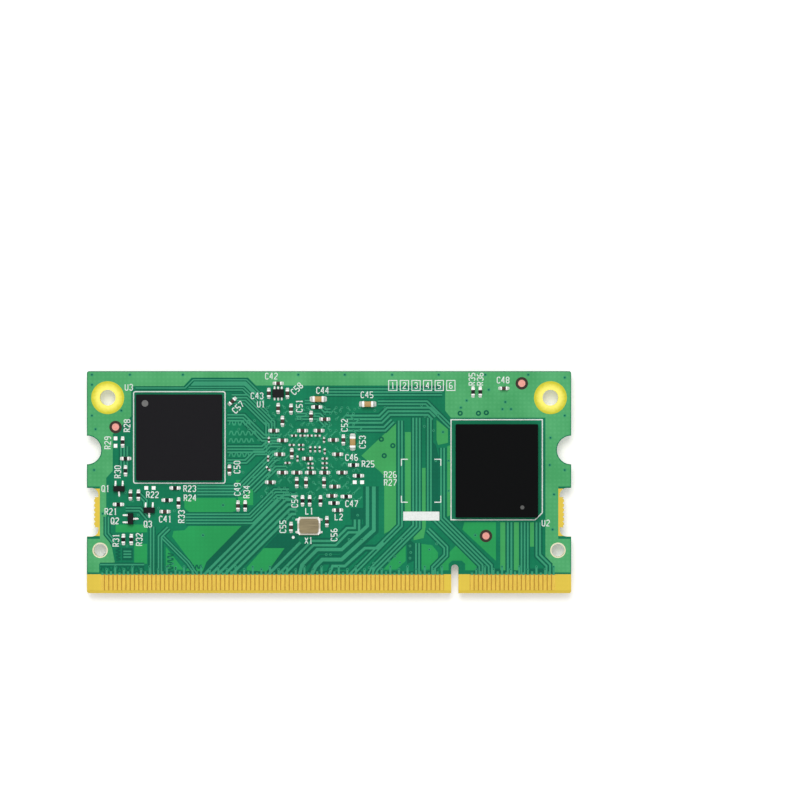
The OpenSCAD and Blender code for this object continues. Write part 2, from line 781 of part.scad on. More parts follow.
module lower_medium_capacitor_bodies() {
    color("tan") lower(lower_medium_capacitor_places) chip_body(medium_length, medium_width, medium_height);
}

module lower_medium_capacitor_ends() {
    color("silver") lower(lower_medium_capacitor_places)
        chip_ends(medium_length, medium_width, medium_height, medium_end);
}

module lower_small_capacitor_bodies() {
    color("sienna") lower(lower_small_capacitor_places) chip_body(small_length, small_width, small_height);
}

module lower_small_capacitor_ends() {
    color("silver") lower(lower_small_capacitor_places)
        chip_ends(small_length, small_width, small_height, small_end);
}

module lower_resistor_cores() {
    color("white") lower(lower_resistor_places) resistor_core();
}

module lower_resistor_coats() {
    color("black") lower(lower_resistor_places) resistor_coat();
}

module lower_resistor_ends() {
    color("silver") lower(lower_resistor_places) resistor_end_pair();
}

// Leaded parts: a moulded body with sloping sides, and leads bent down to the board

module sloping_profile(width, height) {
    polygon([
        [mould_draft - width / 2, 0], [width / 2 - mould_draft, 0], [width / 2, height / 2],
        [width / 2 - mould_draft, height], [mould_draft - width / 2, height], [-width / 2, height / 2]
    ]);
}

module moulded_body(length, width, height) {
    translate([0, 0, lead_standoff]) intersection() {
        rotate([90, 0, 90]) linear_extrude(length, center = true) sloping_profile(width, height);
        rotate([90, 0, 0]) linear_extrude(width, center = true) sloping_profile(length, height);
    }
}

// One lead: out of the parting line of the body, down, and out again along the board
module lead(width, reach, height) {
    shoulder = reach * 0.35;
    heel = reach * 0.6;
    back = min(lead_thickness, shoulder * 0.8);
    level = lead_standoff + height / 2;
    rotate([90, 0, 90]) linear_extrude(width, center = true) polygon([
        [0, level], [shoulder, level], [heel, lead_thickness], [reach, lead_thickness], [reach, 0],
        [heel - back, 0], [shoulder - back, level - lead_thickness], [0, level - lead_thickness]
    ]);
}

// Leads along the two long sides of a body, at the given places along each side
module lead_rows(far_xs, near_xs, lead_width, body_width, reach, height) {
    for (x = far_xs) translate([x, body_width / 2, 0]) lead(lead_width, reach, height);
    for (x = near_xs) translate([x, -body_width / 2, 0]) mirror([0, 1, 0]) lead(lead_width, reach, height);
}

// A ramp of solder in front of each lead
module lead_solder(far_xs, near_xs, lead_width, body_width, reach, land) {
    for (x = far_xs) translate([x, body_width / 2 + reach, 0]) rotate(90)
        solder_ramp(land, lead_width, lead_thickness);
    for (x = near_xs) translate([x, -body_width / 2 - reach, 0]) rotate(-90)
        solder_ramp(land, lead_width, lead_thickness);
}

transistor_far_xs = [-transistor_pitch / 2, transistor_pitch / 2];
transistor_near_xs = [0];
gate_places = [[gate_x, gate_y, 0]];
gate_xs = [-gate_pitch, 0, gate_pitch];
regulator_far_xs = [-regulator_pitch, 0, regulator_pitch];
regulator_near_xs = [-regulator_pitch, regulator_pitch];

module transistor_bodies() {
    color("black") upper(transistor_places)
        moulded_body(transistor_length, transistor_width, transistor_height);
}

module transistor_leads() {
    color("silver") upper(transistor_places) lead_rows(
        transistor_far_xs, transistor_near_xs, small_lead_width,
        transistor_width, transistor_reach, transistor_height
    );
}

module gate_body() {
    color("black") upper(gate_places) moulded_body(gate_length, gate_width, gate_height);
}

module gate_leads() {
    color("silver") upper(gate_places)
        lead_rows(gate_xs, gate_xs, small_lead_width, gate_width, gate_reach, gate_height);
}

module regulator_body() {
    color("black") lower(regulator_places)
        moulded_body(regulator_length, regulator_width, regulator_height);
}

module regulator_leads() {
    color("silver") lower(regulator_places) lead_rows(
        regulator_far_xs, regulator_near_xs, regulator_lead_width,
        regulator_width, regulator_reach, regulator_height
    );
}

// Power supply

module coil_cores() {
    rise = coil_height - terminal_thickness;
    color("dimgray") lower(coil_places) translate([0, 0, terminal_thickness])
        rotate([90, 0, 90]) linear_extrude(coil_length, center = true) polygon([
            [-coil_width / 2, 0], [coil_width / 2, 0], [coil_width / 2, rise - coil_bevel],
            [coil_width / 2 - coil_bevel, rise], [coil_bevel - coil_width / 2, rise],
            [-coil_width / 2, rise - coil_bevel]
        ]);
}

// Each terminal lies under the core and turns up its end
module coil_terminals() {
    color("silver") lower(coil_places) for (turn = [0, 180]) rotate(turn) {
        translate([coil_length / 2 - coil_terminal / 2, 0, 0])
            block(coil_terminal, coil_width, terminal_thickness);
        translate([coil_length / 2 + terminal_thickness / 2, 0, 0])
            block(terminal_thickness, coil_width, coil_terminal);
    }
}

module converter_bodies() {
    color("black") lower(converter_places) translate([0, 0, converter_pad_height])
        block(converter_side, converter_side, converter_height);
}

// Six pads along each of two sides, flush with the body, and one large pad between them
module converter_pads() {
    row_x = (converter_side - converter_pad_length) / 2;
    middle = converter_side - 4 * converter_pad_length;
    color("silver") lower(converter_places) {
        for (side = [-1, 1], i = [-2.5:1:2.5]) translate([side * row_x, i * converter_pad_pitch, 0])
            block(converter_pad_length, converter_pad_width, converter_pad_height);
        block(middle, converter_side - 2 * converter_pad_length, converter_pad_height);
    }
}

// Solder joints

module upper_solder() {
    color("gainsboro") {
        upper(tiny_capacitor_places) chip_solder(tiny_length, tiny_width, tiny_height, tiny_land);
        upper(small_capacitor_places) chip_solder(small_length, small_width, small_height, small_land);
        upper(bead_places) chip_solder(small_length, small_width, small_height, small_land);
        upper(resistor_places) chip_solder(small_length, small_width, resistor_height, small_land);
        upper(medium_capacitor_places)
            chip_solder(medium_length, medium_width, medium_height, medium_land);
        upper(crystal_places) for (y = [-1, 1]) translate([0, y * crystal_pad_y, 0])
            chip_solder(crystal_length, crystal_solder_width, crystal_base_height, small_land);
        upper(transistor_places) lead_solder(
            transistor_far_xs, transistor_near_xs, small_lead_width,
            transistor_width, transistor_reach, small_land
        );
        upper(gate_places)
            lead_solder(gate_xs, gate_xs, small_lead_width, gate_width, gate_reach, tiny_land);
    }
}

module lower_solder() {
    color("gainsboro") {
        lower(lower_small_capacitor_places)
            chip_solder(small_length, small_width, small_height, small_land);
        lower(lower_resistor_places)
            chip_solder(small_length, small_width, resistor_height, small_land);
        lower(lower_medium_capacitor_places)
            chip_solder(medium_length, medium_width, medium_height, medium_land);
        lower(coil_places)
            chip_solder(coil_length + 2 * terminal_thickness, coil_width, coil_terminal, medium_land);
        lower(regulator_places) lead_solder(
            regulator_far_xs, regulator_near_xs, regulator_lead_width,
            regulator_width, regulator_reach, small_land
        );
    }
}

circuit_board();
upper_contacts();
lower_contacts();
mounting_hole_plating();
fiducial_dots();
bare_pads();
memory_package();
memory_solder_balls();
storage_package();
storage_solder_balls();
crystal_terminals();
crystal_base();
crystal_lid();
gate_body();
gate_leads();
transistor_bodies();
transistor_leads();
tiny_capacitor_bodies();
tiny_capacitor_ends();
small_capacitor_bodies();
small_capacitor_ends();
medium_capacitor_bodies();
medium_capacitor_ends();
resistor_cores();
resistor_coats();
resistor_ends();
ferrite_bead_body();
ferrite_bead_ends();
upper_solder();
processor_carrier();
processor_die();
processor_paste();
processor_lid();
processor_solder_balls();
coil_cores();
coil_terminals();
converter_bodies();
converter_pads();
regulator_body();
regulator_leads();
lower_medium_capacitor_bodies();
lower_medium_capacitor_ends();
lower_small_capacitor_bodies();
lower_small_capacitor_ends();
lower_resistor_cores();
lower_resistor_coats();
lower_resistor_ends();
lower_solder();
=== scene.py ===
"""Looks for a compute module: a card with a 200-contact edge that carries memory, storage and a
crystal on its upper face, and a processor with its power supply on its lower face."""

import math

import bpy
import numpy as np
from bpy.props import FloatProperty, FloatVectorProperty, IntProperty, PointerProperty
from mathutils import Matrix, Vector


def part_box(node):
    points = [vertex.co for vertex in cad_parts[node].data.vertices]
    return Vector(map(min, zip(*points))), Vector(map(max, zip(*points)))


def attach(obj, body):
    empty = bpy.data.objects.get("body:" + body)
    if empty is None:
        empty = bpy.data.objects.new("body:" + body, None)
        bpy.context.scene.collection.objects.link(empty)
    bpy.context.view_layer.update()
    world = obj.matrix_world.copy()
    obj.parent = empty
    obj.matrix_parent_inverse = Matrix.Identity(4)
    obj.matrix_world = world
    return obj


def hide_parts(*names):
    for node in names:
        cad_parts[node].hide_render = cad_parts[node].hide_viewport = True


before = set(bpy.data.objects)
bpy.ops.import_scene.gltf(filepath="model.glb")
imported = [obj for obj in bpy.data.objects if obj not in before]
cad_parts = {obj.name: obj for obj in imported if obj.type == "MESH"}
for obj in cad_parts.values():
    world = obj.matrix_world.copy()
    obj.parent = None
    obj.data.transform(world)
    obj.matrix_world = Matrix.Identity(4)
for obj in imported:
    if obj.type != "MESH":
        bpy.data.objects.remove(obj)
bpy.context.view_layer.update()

bl_info = {
    "name": "Compute module looks",
    "version": (1, 0, 0),
    "blender": (4, 5, 0),
    "location": "View3D > Sidebar > Module",
    "description": "Dresses a packed compute module with copper, ink, metals, mouldings and light",
    "category": "Object",
}

MM = 0.001
BOARD_LOW, BOARD_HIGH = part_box("circuit_board")
CONTACT_LOW, CONTACT_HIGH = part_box("upper_contacts")
MEMORY_LOW, MEMORY_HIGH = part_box("memory_package")
STORAGE_LOW, STORAGE_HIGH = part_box("storage_package")
PROCESSOR_LOW, PROCESSOR_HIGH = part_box("processor_carrier")

# Where the board's laminate is bare: the contact rows, the land round the key slot, the snapped tabs
ROW_MIDDLE = (CONTACT_LOW.x + CONTACT_HIGH.x) / 2
ROW_REACH = (CONTACT_HIGH.x - CONTACT_LOW.x) / 2
MASK_EDGE = CONTACT_HIGH.y + 0.1 * MM
KEY_MIDDLE, KEY_REACH = 17.85 * MM, 1.8 * MM
TAB_LINE, TAB_MIDDLE, TAB_REACH = 31.95 * MM, -4.2 * MM, 3.3 * MM

# First-pin dimples of the memory and the storage: middle, width of the paint, level of the face
DOT_DEPTH, PAINT_DEPTH = 0.05 * MM, 0.02 * MM
MEMORY_DOT = (MEMORY_LOW.x + 1.25 * MM, MEMORY_HIGH.y - 1.25 * MM), 0.94 * MM, MEMORY_HIGH.z
STORAGE_DOT = (STORAGE_HIGH.x - 2.2 * MM, STORAGE_LOW.y + 1.4 * MM), 0.58 * MM, STORAGE_HIGH.z

# The faces of the board: height in the frame, and the way that is outwards
UPPER = (BOARD_HIGH.z, 1.0)
LOWER = (BOARD_LOW.z, -1.0)


def linear(code):
    """Linear colour of an sRGB hex code: c / 12.92 when dark, else ((c + 0.055) / 1.055) ^ 2.4."""
    parts = np.array([int(code[i:i + 2], 16) for i in (1, 3, 5)]) / 255
    curve = np.where(parts <= 0.04045, parts / 12.92, ((parts + 0.055) / 1.055) ** 2.4)
    return tuple(float(c) for c in curve)


# Settings


def colour(name, description, code):
    """A colour property whose default is an sRGB hex code."""
    return FloatVectorProperty(
        name=name, description=description, subtype="COLOR", min=0, max=1, default=linear(code))


def length(name, description, millimetres):
    """A length property whose default is given in millimetres."""
    return FloatProperty(
        name=name, description=description, unit="LENGTH", min=0, precision=6, default=millimetres * MM)


def amount(name, description, number, low=0, high=100):
    """A property that is a plain number between two limits."""
    return FloatProperty(name=name, description=description, min=low, max=high, default=number)


class CopperSettings(bpy.types.PropertyGroup):
    """The green mask and the copper that stands under it."""
    bare_mask: colour("Mask on laminate", "Mask over the inner layers' copper", "#0f8159")
    deep_mask: colour("Dark mask", "The same where little copper lies under it", "#08724f")
    # Also the colour of the painted shadow along the mask's edge above the contacts
    gap_mask: colour("Pooled mask", "Mask where it has pooled between lines", "#05684d")
    copper_mask: colour("Mask on edge copper", "Mask over the copper along the edges", "#48a465")
    pale_mask: colour("Thin mask", "The same where the mask is thin", "#5cb577")
    broad_mask: colour("Mask on broad copper", "Mask over the broad copper beside the storage", "#43aa60")
    area_mask: colour("Mask on inner copper", "Mask over a copper area between the parts", "#29a35a")
    line_mask: colour("Mask on lines", "Mask over a narrow copper line", "#3ca178")
    laminate: colour("Laminate", "Bare glass laminate in the contact strip", "#eed050")
    # Tone drawn on the laminate between the contacts, darker than the rest of the strip
    stained: colour("Stained laminate", "Laminate between the contacts, stained by etching", "#b98c36")
    sawn_edge: colour("Sawn edge", "Glass laminate on the cut sides of the board", "#e2d878")
    moat: colour("Moat", "Bare dark laminate round a fiducial dot", "#3a2c22")
    rim: colour("Hole rim", "Bare laminate round an alignment hole", "#f4edcb")
    height: length("Copper height", "How far copper stands out of the board", 0.02)
    share: amount("Line share", "Width of a line as a share of the lines' spacing", 0.58, 0.1, 0.9)
    via_ring: length("Via ring", "Outer diameter of a via", 0.46)
    via_hole: length("Via hole", "Diameter of the dip in the middle of a via", 0.24)


class InkSettings(bpy.types.PropertyGroup):
    """The white printing on the board."""
    ink: colour("Ink", "White epoxy ink", "#f1f6f2")
    height: length("Ink height", "How far the ink stands out of the board", 0.036)
    line: length("Outline width", "Width of the lines round the packages", 0.16)
    stroke: length("Stroke width", "Width of a letter's strokes", 0.14)
    letter: length("Letter height", "Height of the letters and numbers", 0.82)


class MetalSettings(bpy.types.PropertyGroup):
    """Plated and bare metals."""
    gold: colour("Contacts", "Gold plating on the contact edge", "#dbb94f")
    ring: colour("Hole rings", "Gold on the mounting holes", "#b6b135")
    pale_ring: colour("Worn rings", "The same, worn pale next to the hole", "#dad066")
    copper: colour("Copper", "Bare copper of the fiducial dots", "#d08f84")
    tin: colour("Tin", "Matt tin on leads and chip ends", "#faf9f6")
    solder: colour("Solder", "Bright solder joints", "#fbfaf7")
    lid: colour("Lid", "Nickel on the processor's lid", "#c4c2bc")
    crystal_lid: colour("Crystal lid", "Seam-welded lid of the crystal", "#867b61")


class PackageSettings(bpy.types.PropertyGroup):
    """Moulded packages."""
    memory: colour("Memory", "Moulding of the memory package", "#121115")
    storage: colour("Storage", "Moulding of the storage package", "#08090a")
    small: colour("Small parts", "Moulding of transistors, gates and regulators", "#0f0f10")
    dot: colour("First-pin dot", "Paint in the first-pin dimple", "#727270")
    carrier: colour("Carrier", "Laminate under the processor", "#1f5a3c")
    silicon: colour("Silicon", "Back of the processor die", "#5c6068")
    paste: colour("Paste", "Heat paste between die and lid", "#d6d6d2")


class ChipSettings(bpy.types.PropertyGroup):
    """Ceramic chip parts."""
    brown: colour("Brown ceramic", "Body of the small capacitors", "#402a22")
    tan: colour("Tan ceramic", "Body of the supply capacitors", "#bf9b60")
    alumina: colour("Alumina", "Core of the resistors", "#e9e7e0")
    glass: colour("Glass coat", "Dark glass over the resistors", "#0a0a0b")
    ferrite: colour("Ferrite", "Cores of the coils and the bead", "#3a3a3c")
    crystal_base: colour("Crystal ceramic", "Ceramic tray of the crystal", "#dcd6c6")
    corner: length("Corner radius", "Rounding of a ceramic chip's edges", 0.04)


class StageSettings(bpy.types.PropertyGroup):
    """Floor, light and camera."""
    floor: colour("Floor", "Plain pale floor", "#fdfdfc")
    lift: amount("Lift", "Plain white that the camera sees on top of the light on the floor", 0.25, 0, 1)
    sky: amount("Sky", "Strength of the even light all round", 1.0)
    horizon: amount("Horizon", "Share of that light that comes in level", 0.05)
    key: amount("Key light", "Strength of the large lamp", 0.47)
    lens: length("Lens", "Focal length of the camera", 200)
    sensor: length("Sensor", "Width of the camera's sensor", 36)
    scale: amount("Scale", "Photograph pixels to a millimetre on the upper face", 7.164, 1)
    image: IntProperty(name="Image", description="Width of the photograph", default=800, subtype="PIXEL")
    middle: FloatVectorProperty(
        name="Middle", description="Pixel of the photograph where the board's middle lies",
        default=(329.05, 482.2), size=2)


GROUPS = {
    "module_copper": CopperSettings,
    "module_ink": InkSettings,
    "module_metal": MetalSettings,
    "module_package": PackageSettings,
    "module_chip": ChipSettings,
    "module_stage": StageSettings,
}


# Surfaces


def skins(rings, wrap=False):
    """Closed skins over rings of points, given as an array of pieces, rings, points and coordinates.
    Quads join each ring to the next. The end rings get flat caps, or are joined when wrap is set.
    A piece is turned round where its volume, the sum of a . (b x c) over its triangles, is negative,
    so that every skin faces outwards."""
    pieces, rows, columns = rings.shape[:3]
    index = np.arange(pieces * rows * columns).reshape(pieces, rows, columns)
    beside = np.roll(index, -1, axis=2)
    if wrap:
        quads = np.stack([index, beside, np.roll(beside, -1, axis=1), np.roll(index, -1, axis=1)], axis=-1)
        faces = [quads.reshape(pieces, -1, 4)]
    else:
        quads = np.stack([index[:, :-1], beside[:, :-1], beside[:, 1:], index[:, 1:]], axis=-1)
        faces = [quads.reshape(pieces, -1, 4), np.stack([index[:, 0, ::-1], index[:, -1]], axis=1)]
    middled = (rings - rings.mean(axis=(1, 2), keepdims=True)).reshape(-1, 3)
    volume = np.zeros(pieces)
    for array in faces:
        a, b, c = middled[array[..., :1]], middled[array[..., 1:-1]], middled[array[..., 2:]]
        volume += np.sum(a * np.cross(b, c), axis=(1, 2, 3))
    inward = (volume < 0)[:, None, None]
    turned = [np.where(inward, array[..., ::-1], array) for array in faces]
    return rings.reshape(-1, 3), [array.reshape(-1, array.shape[-1]) for array in turned]


def lift(flat, face, rise):
    """Points of a face's plane put at a rise above that face, outwards."""
    level, outward = face
    heights = np.broadcast_to(level + outward * np.asarray(rise, float), flat.shape[:-1])
    return np.concatenate([flat, heights[..., None]], axis=-1)


def offset(path, distance, closed=False):
    """A path moved sideways, mitred at its corners: each point moves along (n1 + n2) / (1 + n1 . n2),
    where n1 and n2 are the normals of the lines before and after it."""
    ahead = np.roll(path, -1, axis=0) - path
    step = ahead / np.linalg.norm(ahead, axis=1, keepdims=True)
    after = np.stack([-step[:, 1], step[:, 0]], axis=1)
    before = np.roll(after, 1, axis=0)
    if not closed:
        after[-1] = after[-2]
        before[0] = after[0]
    return path + distance * (before + after) / (1 + np.sum(before * after, axis=1, keepdims=True))


def levelled(path):
    """A path whose ends at the contacts are slid along it until they lie level with the mask's edge."""
    path = path.copy()
    for end, inner in ((0, 1), (-1, -2)):
        if path[inner, 1] > path[end, 1] and path[end, 1] < MASK_EDGE + 2 * MM:
            step = path[inner] - path[end]
            path[end] += step * (MASK_EDGE - path[end, 1]) / step[1]
    return path


def ribbon(path, width, face, top, closed=False, level=False):
    """A low line: a profile with sloping sides, wide at the foot and a little narrower at the top,
    carried along a path in the plane of a face, with level ends at the contacts where that is set."""
    path = np.asarray(path, float)
    half, slope = width / 2, min(top, width / 4)
    lines = []
    for side, rise in ((-half, 0), (slope - half, top), (half - slope, top), (half, 0)):
        moved = offset(path, side, closed)
        lines.append(lift(levelled(moved) if level else moved, face, rise))
    return skins(np.stack(lines, axis=1)[None], closed)


def plate(outline, face, top):
    """A flat filled area: its outline at the foot, and the outline moved inwards at the top."""
    outline = np.asarray(outline, float)
    ahead = np.roll(outline, -1, axis=0)
    area = np.sum(outline[:, 0] * ahead[:, 1] - ahead[:, 0] * outline[:, 1])
    most = 0.005 * MM
    inset = math.copysign(min(top, most), area)
    rings = [lift(outline, face, 0), lift(offset(outline, inset, closed=True), face, top)]
    return skins(np.stack(rings)[None])


def rounds(places, profile, face, sides, wrap=False):
    """A profile, given as diameters and rises, carried round a circle at many places."""
    turn = np.linspace(0, 2 * np.pi, sides, endpoint=False)
    circle = np.stack([np.cos(turn), np.sin(turn)], axis=-1) / 2
    places = np.asarray(places, float)[:, None]
    rings = [lift(places + circle * size, face, rise) for size, rise in profile]
    return skins(np.stack(rings, axis=1), wrap)


def discs(places, diameter, face, top, sides=12):
    """Round dots at many places, a little smaller at the top than at the foot."""
    return rounds(places, ((diameter, 0), (0.96 * diameter, top)), face, sides)


def washers(places, inner, outer, face, top, sides=12):
    """Flat rings at many places, with a low four-cornered profile."""
    return rounds(places, ((outer, 0), (outer, top), (inner, top), (inner, 0)), face, sides, wrap=True)


def arc(middle, radius, start, end, points=9):
    """Points on a circle from one angle to another, in degrees."""
    turn = np.radians(np.linspace(start, end, points))
    return [(middle[0] + radius * math.cos(t), middle[1] + radius * math.sin(t)) for t in turn]


def rectangle(low, high, corner=0):
    """The outline of a rectangle, counter-clockwise, with its corners rounded as quarter circles."""
    x0, y0, x1, y1 = low[0] + corner, low[1] + corner, high[0] - corner, high[1] - corner
    if not corner:
        return [(x0, y0), (x1, y0), (x1, y1), (x0, y1)]
    middles = ((x0, y0, 180), (x1, y0, 270), (x1, y1, 0), (x0, y1, 90))
    return [p for x, y, turn in middles for p in arc((x, y), corner, turn, turn + 90, 5)]


def holed(outline, middle, radius, corner, way, points=16):
    """An outline with a round hole in it: a slit runs from one of its corners to the hole and back.
    The hole goes round the other way from the outline: way is 1 for counter-clockwise, else -1."""
    at = outline.index(corner)
    first = math.degrees(math.atan2(corner[1] - middle[1], corner[0] - middle[0]))
    loop = arc(middle, radius, first, first + way * 360, points + 1)
    return outline[:at + 1] + loop + outline[at:]


def solids(node_name, count):
    """Points of a node's solids, as an array of solids, points and coordinates: the frame keeps each
    solid's points together."""
    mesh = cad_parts[node_name].data
    points = np.empty(len(mesh.vertices) * 3, np.float32)
    mesh.vertices.foreach_get("co", points)
    return points.reshape(count, -1, 3).astype(float)


def axes_of(points):
    """Length axis of each solid in plan, the one of the longest spread: half the angle of
    (var x - var y, 2 cov xy). With the axis across it, as two arrays of vectors."""
    flat = points[..., :2] - points[..., :2].mean(axis=1, keepdims=True)
    cov = np.einsum("spi,spj->sij", flat, flat)
    turn = 0.5 * np.arctan2(2 * cov[:, 0, 1], cov[:, 0, 0] - cov[:, 1, 1])
    along = np.stack([np.cos(turn), np.sin(turn)], axis=-1)
    return along, np.stack([-along[:, 1], along[:, 0]], axis=-1)


def blocks(points, corner):
    """Blocks with rounded edges in the place of box-like solids: an eight-cornered section, a rectangle
    with cut corners, carried along the length axis through four stations, the end ones drawn in."""
    along, across = axes_of(points)
    lengths = np.einsum("spi,si->sp", points[..., :2], along)
    widths = np.einsum("spi,si->sp", points[..., :2], across)
    spans = np.stack([lengths, widths, points[..., 2]], axis=-1)
    half = np.ptp(spans, axis=1)[:, None, None] / 2
    middle = (spans.max(axis=1) + spans.min(axis=1))[:, None, None] / 2
    cut = np.minimum(corner, half.min(axis=-1) * 0.6)
    end = np.array([-1, -1, 1, 1])[:, None]
    drawn = np.array([1, 0, 0, 1])[:, None]
    side = np.array([1, 1, 1, -1, -1, -1, -1, 1])
    rise = np.array([-1, 1, 1, 1, 1, -1, -1, -1])
    at_side = np.array([1, 1, 0, 0, 1, 1, 0, 0])
    x = end * (half[..., 0] - cut * (1 - drawn)) + 0 * side
    y = side * (half[..., 1] - cut * (0.7 * drawn + (1 - 0.4 * drawn) * (1 - at_side)))
    z = rise * (half[..., 2] - cut * (0.7 * drawn + (1 - 0.4 * drawn) * at_side))
    x, y, z = x + middle[..., 0], y + middle[..., 1], z + middle[..., 2]
    flat = x[..., None] * along[:, None, None] + y[..., None] * across[:, None, None]
    return skins(np.concatenate([flat, z[..., None]], axis=-1))


def fillets(points, face):
    """Solder drawn up to a chip's end, in the place of ramp-like solids: a section with a rounded back is
    carried outwards from the heel, its height falling as (1 - t)^1.7 and its width as 1 - 0.3 t^3."""
    level, outward = face
    rise = (points[..., 2] - level) * outward
    top = rise.max(axis=1)
    high = rise > 0.95 * top[:, None]
    heel = np.einsum("spi,sp->si", points[..., :2], high) / high.sum(axis=1)[:, None]
    away = points[..., :2].mean(axis=1) - heel
    away /= np.linalg.norm(away, axis=1, keepdims=True)
    across = np.stack([-away[:, 1], away[:, 0]], axis=-1)
    reach = np.einsum("spi,si->sp", points[..., :2] - heel[:, None], away)
    wide = np.ptp(np.einsum("spi,si->sp", points[..., :2], across), axis=1)
    t = np.array([0, 0.18, 0.4, 0.68, 1.0])
    start, land = reach.min(axis=1)[:, None], np.ptp(reach, axis=1)[:, None]
    out = start + land * t
    toe = 0.004 * MM
    height = toe + (top[:, None] - toe) * (1 - t) ** 1.7
    width = wide[:, None] * (1 - 0.3 * t ** 3)
    section = np.array([(-0.5, 0.0), (-0.46, 0.7), (-0.28, 1.0), (0.28, 1.0), (0.46, 0.7), (0.5, 0.0)])
    flat = (heel[:, None, None] + out[..., None, None] * away[:, None, None]
            + (width[..., None] * section[:, 0])[..., None] * across[:, None, None])
    return skins(lift(flat, face, height[..., None] * section[:, 1]))


def put(name, data):
    """A new object of the scene that holds a mesh, a lamp or a camera."""
    made = bpy.data.objects.new(name, data)
    bpy.context.scene.collection.objects.link(made)
    return made


def make(name, parts, material, replaces=(), sharp=35):
    """A piece of the object from parts, each an array of points and arrays of faces, smooth but for
    its sharp edges, riding on the one body."""
    counts = np.cumsum([0] + [len(points) for points, faces in parts])
    faces = [row for start, (_, arrays) in zip(counts, parts) for array in arrays
             for row in (array + start).tolist()]
    mesh = bpy.data.meshes.new(name)
    mesh.from_pydata(np.concatenate([points for points, _ in parts]), [], faces)
    mesh.validate()
    mesh.shade_smooth()
    mesh.set_sharp_from_angle(angle=math.radians(sharp))
    mesh.materials.append(material)
    piece = put(name, mesh)
    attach(piece, "root")
    if replaces:
        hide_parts(*replaces)


def dress(material, nodes):
    """Gives CAD nodes a material."""
    for name in nodes:
        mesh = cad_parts[name].data
        mesh.materials.clear()
        mesh.materials.append(material)


# Materials

# A wave texture of scale 1 repeats after this length
WAVE = 2 * math.pi / 20


def fill(tree, made, inputs):
    """Fills a node's inputs, given in order or by name, with values or links. A colour gets its fourth
    number here."""
    for name, value in inputs.items() if isinstance(inputs, dict) else enumerate(inputs):
        socket = made.inputs[name]
        if isinstance(value, bpy.types.NodeSocket):
            tree.links.new(value, socket)
        else:
            socket.default_value = (*value, 1.0) if socket.type == "RGBA" else value


def node(tree, kind, inputs=(), out=0, **settings):
    """Adds a node, sets its properties, fills its inputs, and gives one output, or all if out is None."""
    made = tree.nodes.new("ShaderNode" + kind)
    for name, value in settings.items():
        setattr(made, name, value)
    fill(tree, made, inputs)
    return made.outputs if out is None else made.outputs[out]


def blank(name):
    """A new material, with its node tree and the coordinates that its patterns read."""
    made = bpy.data.materials.new(name)
    made.use_nodes = True
    return made, made.node_tree, node(made.node_tree, "TexCoord", out="Object")


def shade(tree, **sockets):
    """Sets the shader's own sockets, each to a constant value or to what a pattern gives."""
    names = [name.replace("_", " ").title().replace("Ior", "IOR") for name in sockets]
    fill(tree, tree.nodes["Principled BSDF"], dict(zip(names, sockets.values())))


def darker(tone, share):
    """A colour times a share of its brightness."""
    return tuple(c * share for c in tone)


def speckled(name, light, share, grain, gloss, relief=0, stretch=(1, 1, 1), **constants):
    """A two-tone grain: noise of a grain size in millimetres mixes a colour with a darker share of it,
    moves the roughness between the two values of gloss, and stands out by relief. Stretch draws the
    grain out along the axes. A finish that has been made is used again."""
    if name in bpy.data.materials:
        return bpy.data.materials[name]
    made, tree, place = blank(name)
    drawn = node(tree, "Mapping", {"Vector": place, "Scale": stretch})
    grains = node(tree, "TexNoise", {"Vector": drawn, "Scale": 1 / (grain * MM), "Detail": 3.0})
    spread = node(tree, "MapRange", {0: grains, 1: 0.32, 2: 0.68})
    tint = node(tree, "Mix", {0: spread, 6: darker(light, share), 7: light}, 2, data_type="RGBA")
    rough = node(tree, "MapRange", {0: spread, 3: gloss[0], 4: gloss[1]})
    shade(tree, base_color=tint, roughness=rough, **constants)
    if relief:
        shade(tree, normal=node(tree, "Bump", {"Height": spread, "Distance": relief * MM, "Strength": 1.0}))
    return made


